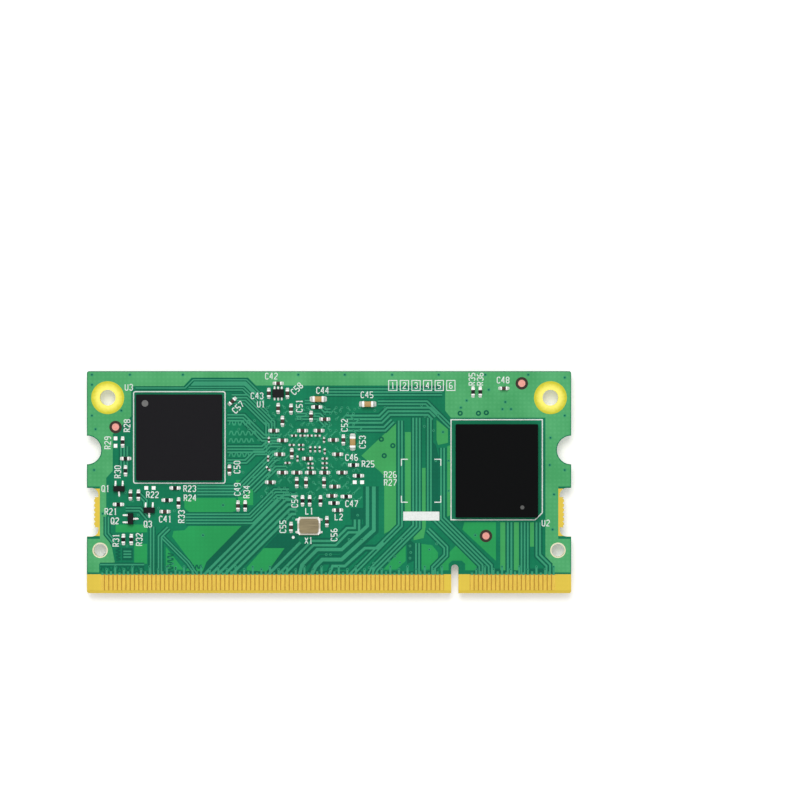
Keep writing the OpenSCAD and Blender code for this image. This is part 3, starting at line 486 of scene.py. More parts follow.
# Grained finishes under the names of their colours: material, settings group, share of the colour in its
# dark grain, grain in millimetres, gloss, and what else the finish needs
FINISHES = {
    # Epoxy ink, screen printed and baked: dense matt white, a little thin where the screen's mesh was
    "ink": ("Epoxy ink, screen printed", "ink", 0.86, 0.25, (0.45, 0.6), {}),
    # Electroplated matt tin: its fine grain scatters light, so it is a soft white more than a mirror
    "tin": ("Tin, matt plated", "metal", 0.9, 0.12, (0.5, 0.65), {"metallic": 0.3}),
    # Tin silver solder, reflowed: it freezes to a grainy satin, so joints look white and not mirrored
    "solder": ("Solder, reflowed", "metal", 0.92, 0.15, (0.5, 0.68), {"metallic": 0.3}),
    # Hard gold wiped by a socket: bright, with fine scratches along the way it slides in
    "gold": ("Hard gold plating, wiped", "metal", 0.92, 0.12, (0.26, 0.33),
             {"stretch": (1, 0.12, 1), "metallic": 1.0}),
    # Copper left bare and etched: pink and satin
    "copper": ("Copper, etched", "metal", 0.85, 0.2, (0.35, 0.5), {"metallic": 1.0}),
    # Copper sheet, nickel plated and brushed: a warm grey with streaks along the module
    "lid": ("Nickel plating, brushed", "metal", 0.8, 0.15, (0.28, 0.42),
            {"stretch": (0.06, 1, 1), "metallic": 1.0}),
    # Nickel iron sheet, rolled: olive brown with faint streaks along it
    "crystal_lid": ("Nickel iron lid, rolled", "metal", 0.7, 0.25, (0.35, 0.5),
                    {"stretch": (0.1, 1, 1), "metallic": 1.0}),
    # Filled epoxy, moulded: dull near-black, with a fine grain off the tool
    "memory": ("Epoxy moulding, matt grey", "package", 0.7, 0.12, (0.5, 0.7),
               {"relief": 0.004, "specular_ior_level": 0.11}),
    "storage": ("Epoxy moulding, matt black", "package", 0.6, 0.12, (0.5, 0.7),
                {"relief": 0.004, "specular_ior_level": 0.05}),
    "small": ("Epoxy moulding, small", "package", 0.6, 0.1, (0.45, 0.65),
              {"relief": 0.003, "specular_ior_level": 0.15}),
    # Matt paint, dabbed into a dimple: grey and uneven
    "dot": ("Dot paint, matt", "package", 0.7, 0.2, (0.6, 0.8), {}),
    # Silicon, ground on its back: dark, even and nearly a mirror
    "silicon": ("Silicon, ground", "package", 0.85, 0.2, (0.15, 0.25), {}),
    # Filled grease, pressed flat: pale and dull
    "paste": ("Heat paste, pressed", "package", 0.85, 0.3, (0.6, 0.8), {}),
    # Barium titanate, fired: dull brown, or tan where the layers are thicker
    "brown": ("Barium titanate, brown", "chip", 0.75, 0.1, (0.4, 0.6), {"specular_ior_level": 0.3}),
    "tan": ("Barium titanate, tan", "chip", 0.8, 0.12, (0.4, 0.6), {"specular_ior_level": 0.3}),
    # Alumina, fired: chalk white and slightly rough
    "alumina": ("Alumina, fired", "chip", 0.9, 0.1, (0.5, 0.7), {}),
    # Lead-free glass, printed and fired: glossy black
    "glass": ("Glass overcoat, dark", "chip", 0.6, 0.2, (0.2, 0.35), {"specular_ior_level": 0.2}),
    # Ferrite, pressed and sintered: dark grey with open pores
    "ferrite": ("Ferrite, sintered", "chip", 0.6, 0.12, (0.5, 0.75),
                {"relief": 0.006, "specular_ior_level": 0.3}),
    # Bare laminate round a dot, where a dark inner layer shows through
    "moat": ("Bare laminate over dark core", "copper", 0.6, 0.2, (0.4, 0.6), {"specular_ior_level": 0.2}),
    # Laminate that the drill scraped free of mask: pale and matt
    "rim": ("Bare laminate, scraped", "copper", 0.85, 0.2, (0.5, 0.7), {}),
    # Matt paper: even and without gloss
    "floor": ("Paper backdrop, matt", "stage", 0.99, 2, (0.9, 1.0), {"specular_ior_level": 0.0}),
}


def finish(scene, key):
    """A grained finish, in the colour that the settings hold under its name."""
    name, group, share, grain, gloss, others = FINISHES[key]
    return speckled(name, getattr(getattr(scene, f"module_{group}"), key), share, grain, gloss, **others)


def wear(scene, **finishes):
    """Gives CAD nodes their grained finishes: under the name of each, the nodes that wear it."""
    for key, nodes in finishes.items():
        dress(finish(scene, key), nodes)


def woven(tree, place, light, dark):
    """Colour of mask over woven glass: pools some 5 mm wide, and threads 0.6 mm apart. Real threads
    lie closer, and are drawn this coarse so that they show."""
    pools = node(tree, "TexNoise", {"Vector": place, "Scale": 1 / (5 * MM), "Detail": 4.0})
    threads = [node(tree, "TexWave", {"Vector": place, "Scale": WAVE / (0.6 * MM), "Distortion": 0.4}, "Fac",
                    bands_direction=way) for way in ("X", "Y")]
    weave = node(tree, "Math", [threads[0], threads[1]], operation="MULTIPLY")
    faint = node(tree, "MapRange", {0: weave, 3: -0.07, 4: 0.07})
    share = node(tree, "Math", [pools, faint], operation="ADD")
    wide = node(tree, "MapRange", {0: share, 1: 0.3, 2: 0.7})
    return node(tree, "Mix", {0: wide, 6: dark, 7: light}, 2, data_type="RGBA"), share


def mask_material(name, light, dark):
    """Cured photo-imageable solder mask, sprayed over copper: a glossy green skin with a slight
    orange peel, so lamps give it soft patches of light."""
    if name in bpy.data.materials:
        return bpy.data.materials[name]
    made, tree, place = blank(name)
    tint, _ = woven(tree, place, light, dark)
    peel = node(tree, "TexNoise", {"Vector": place, "Scale": 1 / (0.35 * MM), "Detail": 2.0})
    bump = node(tree, "Bump", {"Height": peel, "Distance": 0.004 * MM})
    shade(tree, base_color=tint, normal=bump, roughness=0.36, specular_ior_level=0.08)
    return made


def board_material(copper):
    """Epoxy glass laminate: dark green where mask covers it, and bare yellow epoxy with its glass
    layers showing on the sawn edges and in the contact strip."""
    made, tree, place = blank("Epoxy glass laminate, masked")
    tint, share = woven(tree, place, copper.bare_mask, copper.deep_mask)
    x, y, _ = node(tree, "SeparateXYZ", [place], None)
    upright = node(tree, "SeparateXYZ", [node(tree, "NewGeometry", out="True Normal")], 2)
    # 1 within a reach of a middle, else 0: on the sawn sides, inside the line of the snapped tabs, level
    # with the tabs, along the contact rows, and round the key slot
    sawn, inside, level, rows, key = [
        node(tree, "Math", [value, middle, reach], operation="COMPARE")
        for value, middle, reach in (
            (upright, 0, 0.5), (x, 0, TAB_LINE), (y, TAB_MIDDLE, TAB_REACH), (x, ROW_MIDDLE, ROW_REACH),
            (x, KEY_MIDDLE, KEY_REACH))
    ]
    strip = node(tree, "Math", [y, MASK_EDGE], operation="LESS_THAN")
    above = node(tree, "Math", [y, CONTACT_LOW.y], operation="GREATER_THAN")
    tab = node(tree, "Math", [level, inside], operation="SUBTRACT", use_clamp=True)
    plain = node(tree, "Math", [strip, tab], operation="MAXIMUM")
    bare = node(tree, "Math", [sawn, plain], operation="MAXIMUM")
    # Laminate between the contact rows, above their lower end and away from the key slot, is drawn in a
    # darker tone
    between = node(tree, "Math", [rows, key], operation="SUBTRACT", use_clamp=True)
    darkening = node(tree, "Math", [between, above], operation="MULTIPLY")
    # Glass layers 0.18 mm apart through the thickness
    layers = node(tree, "TexWave", {
        "Vector": place, "Scale": WAVE / (0.18 * MM), "Distortion": 1.5, "Detail": 2.0,
    }, "Fac", bands_direction="Z")
    resin, clean = [
        node(tree, "Mix", {0: part, 6: darker(tone, dark), 7: tone}, 2, data_type="RGBA")
        for part, tone, dark in ((layers, copper.sawn_edge, 0.8), (share, copper.laminate, 0.85))
    ]
    flat = node(tree, "Mix", {0: darkening, 6: clean, 7: copper.stained}, 2, data_type="RGBA")
    yellow = node(tree, "Mix", {0: sawn, 6: flat, 7: resin}, 2, data_type="RGBA")
    final = node(tree, "Mix", {0: bare, 6: tint, 7: yellow}, 2, data_type="RGBA")
    rough = node(tree, "MapRange", {0: bare, 3: 0.36, 4: 0.6})
    shade(tree, base_color=final, roughness=rough, specular_ior_level=0.08)
    return made


# How many there are of each repeated part, as the frame holds them
CONTACTS = 100
FIDUCIALS = 6
UPPER_JOINTS, LOWER_JOINTS = 187, 97

# Copper layout, in millimetres from the board's middle

LATCH = (-33.8, 4.5)
LEFT_HOLE = (-30.9, 11.8)
LEFT_PIN = (-31.95, -9.5)
BOARD_SIDE = 33.7
FAR_SIDE = 15.4


def edge_areas():
    """Outlines of the copper areas along the far edge and down both sides, the same on both faces."""
    notch = 2.15
    left_side = [
        (-BOARD_SIDE, FAR_SIDE), (-BOARD_SIDE, LATCH[1] + notch), *arc(LATCH, notch, 87, -87),
        (-BOARD_SIDE, -0.6), (-32, -0.6), (-32, -7.9), (-BOARD_SIDE, -7.9), (-BOARD_SIDE, -12.6),
        (-32.1, -12.6), (-32.1, -11.4), (-29.9, -11.2), (-30.3, -9.2), (-31.1, -7.4), (-31.1, 0.6),
        (-30.2, 1.6), (-30.2, 6.7), (-27.6, 9.2), (-27.6, 13.4), (-20.3, 13.4), (-19.2, 14.6),
        (-11.3, 14.6), (-10.2, 13.5), (17, 13.5), (17, FAR_SIDE),
    ]
    left_side = holed(left_side, LEFT_HOLE, 1.5, (-BOARD_SIDE, FAR_SIDE), -1)
    left_side = holed(left_side, LEFT_PIN, 1, (-30.3, -9.2), -1)
    right_side = [
        (BOARD_SIDE, FAR_SIDE), (BOARD_SIDE, LATCH[1] + notch), *arc((-LATCH[0], LATCH[1]), notch, 93, 267),
        (BOARD_SIDE, -0.6), (32, -0.6), (32, -7.9), (BOARD_SIDE, -7.9), (BOARD_SIDE, -12.6),
        (31.2, -12.6), (30.2, -10.4), (30.2, 9), (17, 9), (16.2, 10), (16.2, 13.5),
        (17, 13.5), (17, FAR_SIDE),
    ]
    right_side = holed(right_side, (-LEFT_HOLE[0], LEFT_HOLE[1]), 1.5, (BOARD_SIDE, FAR_SIDE), 1)
    right_side = holed(right_side, (-LEFT_PIN[0], LEFT_PIN[1]), 1, (30.2, -10.4), 1)
    return [left_side, right_side]


# Copper areas between the parts of the upper face
UPPER_AREAS = [
    [(-19.6, -6.1), (-12.2, -6.1), (-17.1, -11.1), (-17.6, -12.4), (-20, -12.4), (-19.3, -11.1),
     (-21.9, -7.6), (-21.7, -6.8), (-20.2, -6.7)],
    [(-9.1, -9.2), (-6.2, -9.2), (-8.6, -12.5), (-11.5, -12.3), (-11.5, -11.9)],
    [(18.9, -5.6), (23.3, -5.6), (23.3, -11), (18.6, -6.6)],
    [(18.2, -8.3), (21, -11.1), (20.6, -11.5), (20.6, -12.3), (19, -12.3), (19, -11.4),
     (18.5, -10.95), (17.2, -10.95), (16.7, -11.4), (16.7, -12.3), (15.5, -12.3), (15.5, -11.7),
     (16.4, -10.8), (16.4, -10.2)],
    [(-20.2, -2.2), (-13, -2.2), (-13, -4), (-13.6, -4.2), (-19.5, -4.2), (-20.2, -3.6)],
    rectangle((-29.8, -7), (-25.4, -5.9)),
    rectangle((-27.2, -11.4), (-25.4, -8.6)),
    [(-22.8, -9), (-20.3, -12.2), (-22.8, -12.2)],
    [(10.1, -9.2), (10.7, -8.6), (10.7, -11), (9.4, -12.2), (7.6, -12.2)],
    [(12.9, -8.6), (14.4, -8.8), (15.2, -9.8), (15.2, -12.2), (12.9, -12.2)],
    [(-13, 0.3), (-10.6, 0.3), (-10.6, -3.2), (-12.6, -3.2)],
]
# Broad areas beside the storage, where the mask is thinner
UPPER_BROAD_AREAS = [
    [(4.5, 3.7), (8, 7), (9.35, 8.2), (9.35, -6.3), (7.7, -7.2), (7.7, 0.9), (7.1, 1.5)],
    rectangle((10.6, -5.4), (11.6, 7)),
    [(12.75, 2), (13.5, 2), (13.5, -6.2), (13.2, -7.8), (11.8, -8.1), (11.8, -7.4), (12.75, -6.2)],
    [(15, 8.7), (16.6, 7.4), (16.6, 5.5), (15.2, 5.2), (15, 5.9)],
    [(16.5, 5), (17, 5.2), (17, -4.6), (16.5, -4.8)],
    rectangle((25.7, -12.3), (26.5, -5.6)),
    rectangle((23.9, -12.3), (24.65, -5.6)),
    rectangle((28, -9), (28.65, -5.6)),
]
# Broad conductors, which look as the lines do
UPPER_BROADS = [
    [(-19.4, 13.4), (-18.8, 14.1), (-11.6, 14.1), (-9, 11.5), (-9, 10.7), (-11.7, 13.4)],
]
# Where the mask lies thick over bare laminate, between the areas and round the fan-out of the contacts. The
# last
# strips are painted shadow: dark bands along the mask's edge above the contacts
UPPER_DEEPS_AND_EDGE_SHADOW = [
    [(-18.2, -12.4), (-17.1, -11.1), (-12.2, -6.1), (-10.9, -6.1), (-17.2, -12.4)],
    [(-7.2, -7.2), (-4.4, -7.2), (-4.2, -8.2), (-8.1, -12.4), (-8.6, -12.5), (-6.2, -9.2), (-9.1, -9.2)],
    rectangle((-28.9, -10.9), (-27.4, -9.2)),
    [(13.7, 6.4), (14.9, 5.2), (15.3, 3.6), (15.3, -4.2), (13.7, -4.2)],
    [(10.9, -7.8), (11.8, -8.4), (11.8, -11), (10.9, -11.4)],
    rectangle((3, -5.2), (4.9, -3.6)),
    # Painted shadow: dark bands along the mask's edge above the contacts, where that edge is shaded
    rectangle((-31.6, -12.7), (15.4, -12.45)),
    rectangle((20.2, -12.7), (30.6, -12.05)),
]
# Bundles of lines on the upper face: how many, their spacing, and the middle line
UPPER_BUNDLES = [
    (1, 0.34, [(-27, 13.15), (-20.1, 13.15), (-18.95, 14.3), (-11.5, 14.3), (-9, 11.8)]),
    (2, 0.36, [(-19.6, 13.05), (-12, 13.05), (-8.6, 9.7)]),
    (4, 0.4, [(-13.6, 11.6), (-11.6, 11.6), (-8.2, 8.2), (-8.2, 6.4)]),
    (3, 0.42, [(-14.2, 9), (-12, 9), (-9.2, 6.2), (-7, 6.2)]),
    (3, 0.42, [(-14.2, 4.6), (-9.2, 4.6), (-8.4, 5.4), (-6.6, 5.4)]),
    (2, 0.42, [(-14.2, 2.9), (-11.6, 2.9), (-10.4, 4.1), (-8.6, 4.1)]),
    (4, 0.42, [(-18.4, -1.1), (-12.4, -1.1), (-7.6, 3.7), (-7, 3.7)]),
    (2, 0.42, [(-10.6, -1.2), (-7.4, 2), (-6, 2)]),
    (4, 0.42, [(-20, -5.1), (-10.9, -5.1), (-7.4, -1.6), (-5.6, -1.6)]),
    (5, 0.67, [(-15.05, -12.4), (-5.75, -3.1), (-4.6, -3.1)]),
    (1, 0.7, [(-8, -12.4), (-4, -8.4)]),
    (2, 0.6, [(-6.2, -12.4), (-2.3, -8.5), (0.8, -8.5), (2.6, -6.7), (3.9, -6.7), (3.9, -5.2)]),
    (1, 0.85, [(-4, -12.4), (-3.8, -11.55), (-1.65, -9.4), (1.75, -9.4), (5.36, -6.1), (5.36, -0.6)]),
    (1, 0.95, [(-2.2, -12.4), (-1.9, -11.75), (-0.95, -10.8), (1.75, -10.8), (6.25, -6.7), (6.25, -0.6)]),
    (1, 0.7, [(0.2, -12.4), (0.5, -11.7), (2.2, -11.7), (5, -9.2), (6.8, -9.2), (7.6, -8.4)]),
    (2, 0.46, [(3.6, -12.4), (3.9, -12.1), (9.95, -6.05), (9.95, 8.6)]),
    (3, 0.46, [(6.2, -12.4), (6.4, -12), (12.2, -6.2), (12.2, 9)]),
    (3, 0.42, [(-0.6, 12.6), (15.8, 12.6)]),
    (3, 0.5, [(2.4, 8.8), (7.2, 8.8), (8.3, 9.9), (14, 9.9), (14.8, 9.1)]),
    (2, 0.5, [(2.4, 7.45), (7.75, 7.45), (8.9, 8.6)]),
    (2, 0.42, [(6.8, 11.1), (13.6, 11.1), (17, 7.7)]),
    (2, 0.44, [(14, 9), (14, -4.4), (15.2, -5.6)]),
    (2, 0.44, [(15.85, 4.8), (15.85, -5), (22.5, -11.65), (22.5, -12.4)]),
    (2, 0.44, [(15.1, -5.5), (21.2, -11.6), (21.2, -12.4)]),
    (2, 0.44, [(13.8, -6.6), (16.3, -9.1), (16.3, -10.2), (14.6, -11.9), (14.6, -12.4)]),
    (2, 0.44, [(12.35, -8.5), (12.35, -12.4)]),
    (2, 0.5, [(25.2, -5.6), (25.2, -12.4)]),
    (3, 0.44, [(27.3, -5.6), (27.3, -12.4)]),
    (2, 0.5, [(29.2, -5.6), (29.2, -10.2), (30.6, -11.6), (30.6, -12.4)]),
    (2, 0.36, [(-23.2, -7.7), (-19.7, -11.2), (-18.9, -12.4)]),
    (2, 0.42, [(-24.7, -6.2), (-24.7, -12.4)]),
    (2, 0.42, [(-23.6, -12.4), (-23.6, -7.6), (-22.4, -6.4)]),
    (2, 0.42, [(-31, -4.8), (-31, -7.2), (-30, -8.4)]),
    (3, 0.44, [(-28.6, 1.2), (-28.6, 5)]),
    (2, 0.4, [(-26.8, -1.4), (-25.6, -2.6), (-25.6, -3.4)]),
    (2, 0.4, [(-28.4, -3.8), (-26.4, -3.8), (-25.2, -5.2)]),
    (3, 0.4, [(-4.6, 9.2), (-1.4, 9.2), (-0.2, 8)]),
    (2, 0.4, [(-3.4, 11.2), (-1.8, 11.2), (-0.6, 10), (0.2, 10)]),
    (1, 0.4, [(-32, -11.5), (-25.8, -11.5)]),
    (3, 0.4, [(-28.7, -10.05), (-27.6, -10.05)]),
]

# The lower face: copper areas and bundles of lines
LOWER_AREAS = [
    [(8.6, 12.8), (15.8, 12.8), (15.8, 10), (16.6, 8.6), (29.8, 8.6), (29.8, -3), (24, -8.8),
     (12.4, -8.8), (8.6, -5)],
    rectangle((-26.8, 12), (-10.2, 12.8)),
    [(-26.8, -6.2), (-13, -6.2), (-9.6, -2.8), (-9.6, -4), (-13, -7.4), (-26.8, -7.4)],
]
LOWER_BUNDLES = [
    (6, 0.6, [(-30, -12.4), (-30, -11.4), (-27.2, -8.6), (-12.6, -8.6), (-8.6, -4.6), (-8.6, -3)]),
    (4, 0.6, [(-21, -12.4), (-20, -11.4), (-11.4, -11.4), (-6.2, -6.2), (-6.2, -3)]),
    (4, 0.6, [(-10, -12.4), (-3.5, -5.9), (-3.5, -3)]),
    (4, 0.6, [(-5.2, -12.4), (-0.8, -8), (-0.8, -3)]),
    (4, 0.6, [(1.6, -12.4), (1.9, -8.2), (1.9, -3)]),
    (4, 0.6, [(9, -12.4), (9, -9.6), (4.5, -5.1), (4.5, -3)]),
    (3, 0.6, [(22, -12.4), (22, -11.4), (20.6, -10), (12, -10), (7, -5), (7, -3)]),
    (3, 0.6, [(28.6, -12.4), (28.6, -9.8), (31, -7.4), (31, -1.4)]),
    (2, 0.6, [(7.6, -2), (7.6, 8.8), (9.6, 10.8), (9.6, 14.6)]),
    (1, 1, [(-18.2, 13.8), (-2, 13.8), (6, 13.8)]),
]
LOWER_VIAS = [
    *[(x, y) for y in (6.6, 2.2, -2.2) for x in (13, 16.6, 20.2, 23.8, 27.4)],
    *[(x, y) for y in (12.4, -6.8) for x in (-25.6, -22, -18.4, -14.8)],
    (9.6, 8), (12, 11.6), (14.4, 11.6), (9.6, 4.4), (9.6, 0.8), (9.6, -2.8), (14.8, -6.6), (18.4, -6.6),
    (22, -6.6), (-33.1, 13.6), (-33.1, 9.3), (32.9, 9.3), (32.9, 1.7),
]

# Folded paths: start, length, height of the folds, how many, and the turn in degrees. First the
# length-matched lines beside the memory, then gaps between folded lines near the contacts
FOLDED_LINES = [
    ((-14, 8), 3.2, 0.6, 4, 0),
    ((-14, 6.6), 4, 0.5, 5, 0),
    ((-14, 5.6), 3.6, 0.45, 5, 0),
    ((-14, 3.6), 3, 0.5, 4, 0),
]
FOLDED_GAPS = [
    ((-29.7, -9.1), 1.9, 0.5, 4, -90),
    ((-22.5, -9.9), 2.4, 0.7, 4, -90),
    ((-31.9, -12.3), 6.2, 0.5, 8, 0),
    ((-19.8, -12), 2.2, 0.4, 4, 0),
]

# Vias in the copper areas of the upper face, wide ones, and those in the routing
AREA_VIAS = [
    (-33.1, 15), (-33.1, 13.6), (-33.1, 9.3), (-27.8, 15), (-20.4, 15), (-4.3, 15), (2.2, 15),
    (8.8, 15), (15.3, 15), (21.8, 15), (27.8, 15), (22.3, 12.9), (19.2, 11.4), (24.6, 11.2),
    (25.4, 10.2), (24.2, 10.2), (18.4, 10.4), (32.9, 9.3), (32.9, 14.6), (32.9, 1.7), (31.4, -1.7),
    (31.2, -6.6), (-32.8, 1.7), (-32.6, 7.4), (15.9, 7), (-17.6, -7.4), (-14.8, -3.2), (20.4, -7.4),
    (-31.6, -4.4), (30.9, 6.2), (30.8, 2.4), (-29, 10),
]
WIDE_VIAS = [(7.3, 6), (8.9, 5.1), (7.7, 3.7), (18.3, 9.62), (20.85, 9.62), (21.95, 9.7)]
LINE_VIAS = [
    (-5.6, -4.4), (-5, -5), (-6.1, -5.2), (-4.6, -4), (-5.4, -5.8), (-4.4, -5.6), (5.6, -11.9),
    (6.2, -11.3), (8.4, -11), (9.2, -10.4), (9.9, -11.2), (10.2, -8), (11.3, -8.9), (11.4, -9.8),
    (11.3, -10.6), (-12.6, 7.4), (-11.2, 7.5), (-10.4, 8.6), (-9.8, 5.9), (-12, 1.4), (-10.6, 0.8),
    (-9.2, 2.8), (-13.4, 1.6), (-28.4, -1.4), (-27.4, -2.6), (-26.6, -4.6), (-23.8, -3.6),
    (-22.4, -2.8), (-21.6, -4), (-29, -8.6), (-28.2, -8.9), (-22.2, -10.6), (-21.8, -11.4),
    (-21.4, -11.9), (-22.4, -11.7), (12.9, 10.7), (14.6, 7.2), (14.9, 3), (16.7, 3), (16.7, -1.2),
    (14.4, -5.2), (15, -8.6), (14, -9.4), (6.4, 10), (3.6, 10.2), (1.6, 9.9), (7.8, 10.4), (4.4, 0.6),
    (4, -4.6), (4.6, -8), (2.8, -8), (-0.4, -10.1), (0.2, -10.1), (-8.6, 0.2), (-9.4, -2), (13.4, 9.2),
    (15.2, 9.4), (13.3, 7.8),
]


# How high copper and mask stand, as shares of the copper's height, so that nothing that crosses is level
RISE = {"pool": 0.2, "area": 0.4, "broad": 0.42, "bed": 0.5, "gap": 0.6, "stub": 0.68, "fan": 0.7,
        "fold": 0.72, "line": 0.75, "dip": 1.0, "ring": 1.05}
# Widths of single lines, and the hole and ring of the wide vias, in millimetres
WIDTH = {"gap": 0.2, "stub": 0.18, "fan": 0.3, "fold": 0.18}
WIDE_HOLE, WIDE_RING = 0.3, 0.75
# Hole and width of the bare rings round fiducial dots and alignment holes, and the sides of a round one
MOAT, RIM = (1.0 * MM, 1.75 * MM), (1.8 * MM, 2.16 * MM)
ROUND = 24


def folded(start, reach, fold, turns, angle):
    """A path folded to and fro, four points to a turn, as a square wave with steep sides along +X that
    is turned about its start."""
    step = reach / turns
    across = np.array([0.06, 0.3, 0.56, 0.8]) * step
    x = (np.arange(turns)[:, None] * step + across).ravel()
    y = np.tile([0.0, fold, fold, 0.0], turns)
    c, s = math.cos(math.radians(angle)), math.sin(math.radians(angle))
    return np.stack([start[0] + c * x - s * y, start[1] + s * x + c * y], axis=1) * MM


def hair(i):
    """A share that differs from piece to piece, 0.618 i modulo 1, so that no two tops share a plane."""
    return 0.618 * i % 1


def bundle_parts(bundles, face, copper):
    """Beds and lines of bundles: the lines lie evenly spaced to both sides of the middle line, and a bed
    of thick mask fills the gaps."""
    beds, lines = [], []
    for i, (count, spacing, path) in enumerate(bundles):
        middle = np.array(path) * MM
        step = spacing * MM
        bed, line = [(RISE[kind] + 0.15 * hair(i)) * copper.height for kind in ("bed", "line")]
        level = middle[:, 1].min() < MASK_EDGE + 1 * MM
        beds.append(ribbon(middle, (count + 1 - copper.share) * step, face, bed, level=level))
        lines += [ribbon(offset(middle, side * step), copper.share * step, face, line, level=level)
                  for side in np.arange(count) - (count - 1) / 2]
    return beds, lines


def area_parts(outlines, kind, face, copper):
    """A plate for every outline given in millimetres."""
    top = RISE[kind] * copper.height
    return [plate(np.array(outline) * MM, face, top * (1 + 0.1 * hair(i)))
            for i, outline in enumerate(outlines)]


def strips(paths, kind, face, copper):
    """Single lines of one kind along many paths."""
    return [ribbon(path, WIDTH[kind] * MM, face, RISE[kind] * copper.height) for path in paths]


def field_vias():
    """Vias under the processor: a grid 0.8 mm apart with two of every seven places left out, and a short
    stub from each via, turned by a right angle from one to the next but one."""
    pitch, margin, reach = 0.8 * MM, 0.4 * MM, 0.55 * MM
    x = np.arange(PROCESSOR_LOW.x + margin, PROCESSOR_HIGH.x, pitch)
    y = np.arange(PROCESSOR_LOW.y + margin, PROCESSOR_HIGH.y, pitch)
    row, column = np.meshgrid(np.arange(len(y)), np.arange(len(x)), indexing="ij")
    kept = (3 * row + 2 * column) % 7 > 1
    places = np.stack([x[column], y[row]], axis=-1)[kept]
    turn = np.radians(45 + 90 * ((row + column // 2) % 4))[kept]
    stubs = places + reach * np.stack([np.cos(turn), np.sin(turn)], axis=-1)
    return places, np.stack([places, stubs], axis=1)


def contact_tops(node_name):
    """The inner end of every contact of a row, sorted along the edge."""
    points = solids(node_name, CONTACTS)
    x = np.sort((points[..., 0].max(axis=1) + points[..., 0].min(axis=1)) / 2)
    return np.stack([x, np.full(len(x), CONTACT_HIGH.y)], axis=1)


def fan_outs(tops, reaches):
    """A short straight path inwards from every contact, its reach taken in turn from a few lengths."""
    reach = np.resize(reaches, len(tops)) * MM
    ends = tops + np.stack([0 * reach, reach], axis=1)
    return np.stack([tops - (0, 0.1 * MM), ends], axis=1), ends


def mask_set(copper):
    """The tones of the mask: over edge copper, broad copper, inner copper and lines, and pooled. The pooled
    tone also colours the painted shadow along the mask's edge above the contacts.
    """
    tones = (
        (" over edge copper", copper.pale_mask, copper.copper_mask),
        (" over broad copper", copper.broad_mask, darker(copper.broad_mask, 0.86)),
        (" over inner copper", copper.area_mask, darker(copper.area_mask, 0.86)),
        (" over lines", copper.line_mask, darker(copper.line_mask, 0.85)),
        # The pooled tone also colours the painted shadow along the mask's edge above the contacts
        (", pooled", copper.gap_mask, darker(copper.gap_mask, 0.82)),
    )
    return [mask_material("Solder mask" + where, light, dark) for where, light, dark in tones]


def lay_copper(side, face, copper, areas, bundles, reaches, vias, broads=(), pools=(), lines=(), dips=()):
    """The copper under the mask of one face: areas, pooled mask, lines and vias. Where given, the pooled
    mask takes in painted shadow strips along the mask's edge. Vias come in groups of places and size, and
    every other contact's line ends in a via of the first group."""
    edge, broad, area, line, deep = mask_set(copper)
    beds, traces = bundle_parts(bundles, face, copper)
    paths, ends = fan_outs(contact_tops(f"{side}_contacts"), reaches)
    rings, holes = [], []
    for i, (places, size) in enumerate(vias):
        places = places if i else np.concatenate([places, ends[1::2]])
        hole, ring = size * copper.via_hole, size * copper.via_ring
        rings.append(washers(places, hole, ring, face, RISE["ring"] * copper.height, 10))
        holes.append(discs(places, hole, face, RISE["dip"] * copper.height, 8))
    for name, parts, mask in (
            ("edge_copper", area_parts(edge_areas(), "area", face, copper), edge),
            ("broad_copper", area_parts(broads, "broad", face, copper), broad),
            ("inner_copper", area_parts(areas, "area", face, copper), area),
            # Pooled mask and beds; on the upper face also the painted shadow along the mask's edge above the
            # contacts
            ("mask_pools", [*pools, *beds], deep),
            ("copper_lines", [*traces, *lines, *strips(paths, "fan", face, copper)], line),
            ("via_rings", rings, line),
            ("via_dips", [*holes, *dips], deep)):
        if parts:
            make(f"{side}_{name}", parts, mask)


class MODULE_OT_board(bpy.types.Operator):
    """Gives the board its laminate and mask"""
    bl_idname = "module.board"
    bl_label = "Board"

    def execute(self, context):
        dress(board_material(context.scene.module_copper), ["circuit_board"])
        return {"FINISHED"}


class MODULE_OT_upper_copper(bpy.types.Operator):
    """Lays the copper areas, lines and vias under the mask of the upper face"""
    bl_idname = "module.upper_copper"
    bl_label = "Upper copper"

    def execute(self, context):
        copper = context.scene.module_copper
        field, stubs = field_vias()
        small, large, wide = [np.array(places) * MM for places in (LINE_VIAS, AREA_VIAS, WIDE_VIAS)]
        # Thick mask, with painted shadow along the mask's edge above the contacts, and gaps between folded
        # lines
        pools = area_parts(UPPER_DEEPS_AND_EDGE_SHADOW, "pool", UPPER, copper)
        pools += strips([folded(*fold) for fold in FOLDED_GAPS], "gap", UPPER, copper)
        lines = area_parts(UPPER_BROADS, "area", UPPER, copper)
        lines += strips([folded(*fold) for fold in FOLDED_LINES], "fold", UPPER, copper)
        lines += strips(stubs, "stub", UPPER, copper)
        dips = [washers(wide, WIDE_HOLE * MM, WIDE_RING * MM, UPPER, RISE["dip"] * copper.height)]
        lay_copper("upper", UPPER, copper, UPPER_AREAS, UPPER_BUNDLES, (0.35, 0.8, 0.5, 1.15),
                   [(np.concatenate([small, field]), 0.8), (large, 1.0)],
                   UPPER_BROAD_AREAS, pools, lines, dips)
        return {"FINISHED"}


class MODULE_OT_lower_copper(bpy.types.Operator):
    """Lays the copper areas, lines and vias under the mask of the lower face"""
    bl_idname = "module.lower_copper"
    bl_label = "Lower copper"

    def execute(self, context):
        lay_copper("lower", LOWER, context.scene.module_copper, LOWER_AREAS, LOWER_BUNDLES,
                   (0.8, 0.35, 1.15, 0.5), [(np.array(LOWER_VIAS) * MM, 1.0)])
        return {"FINISHED"}


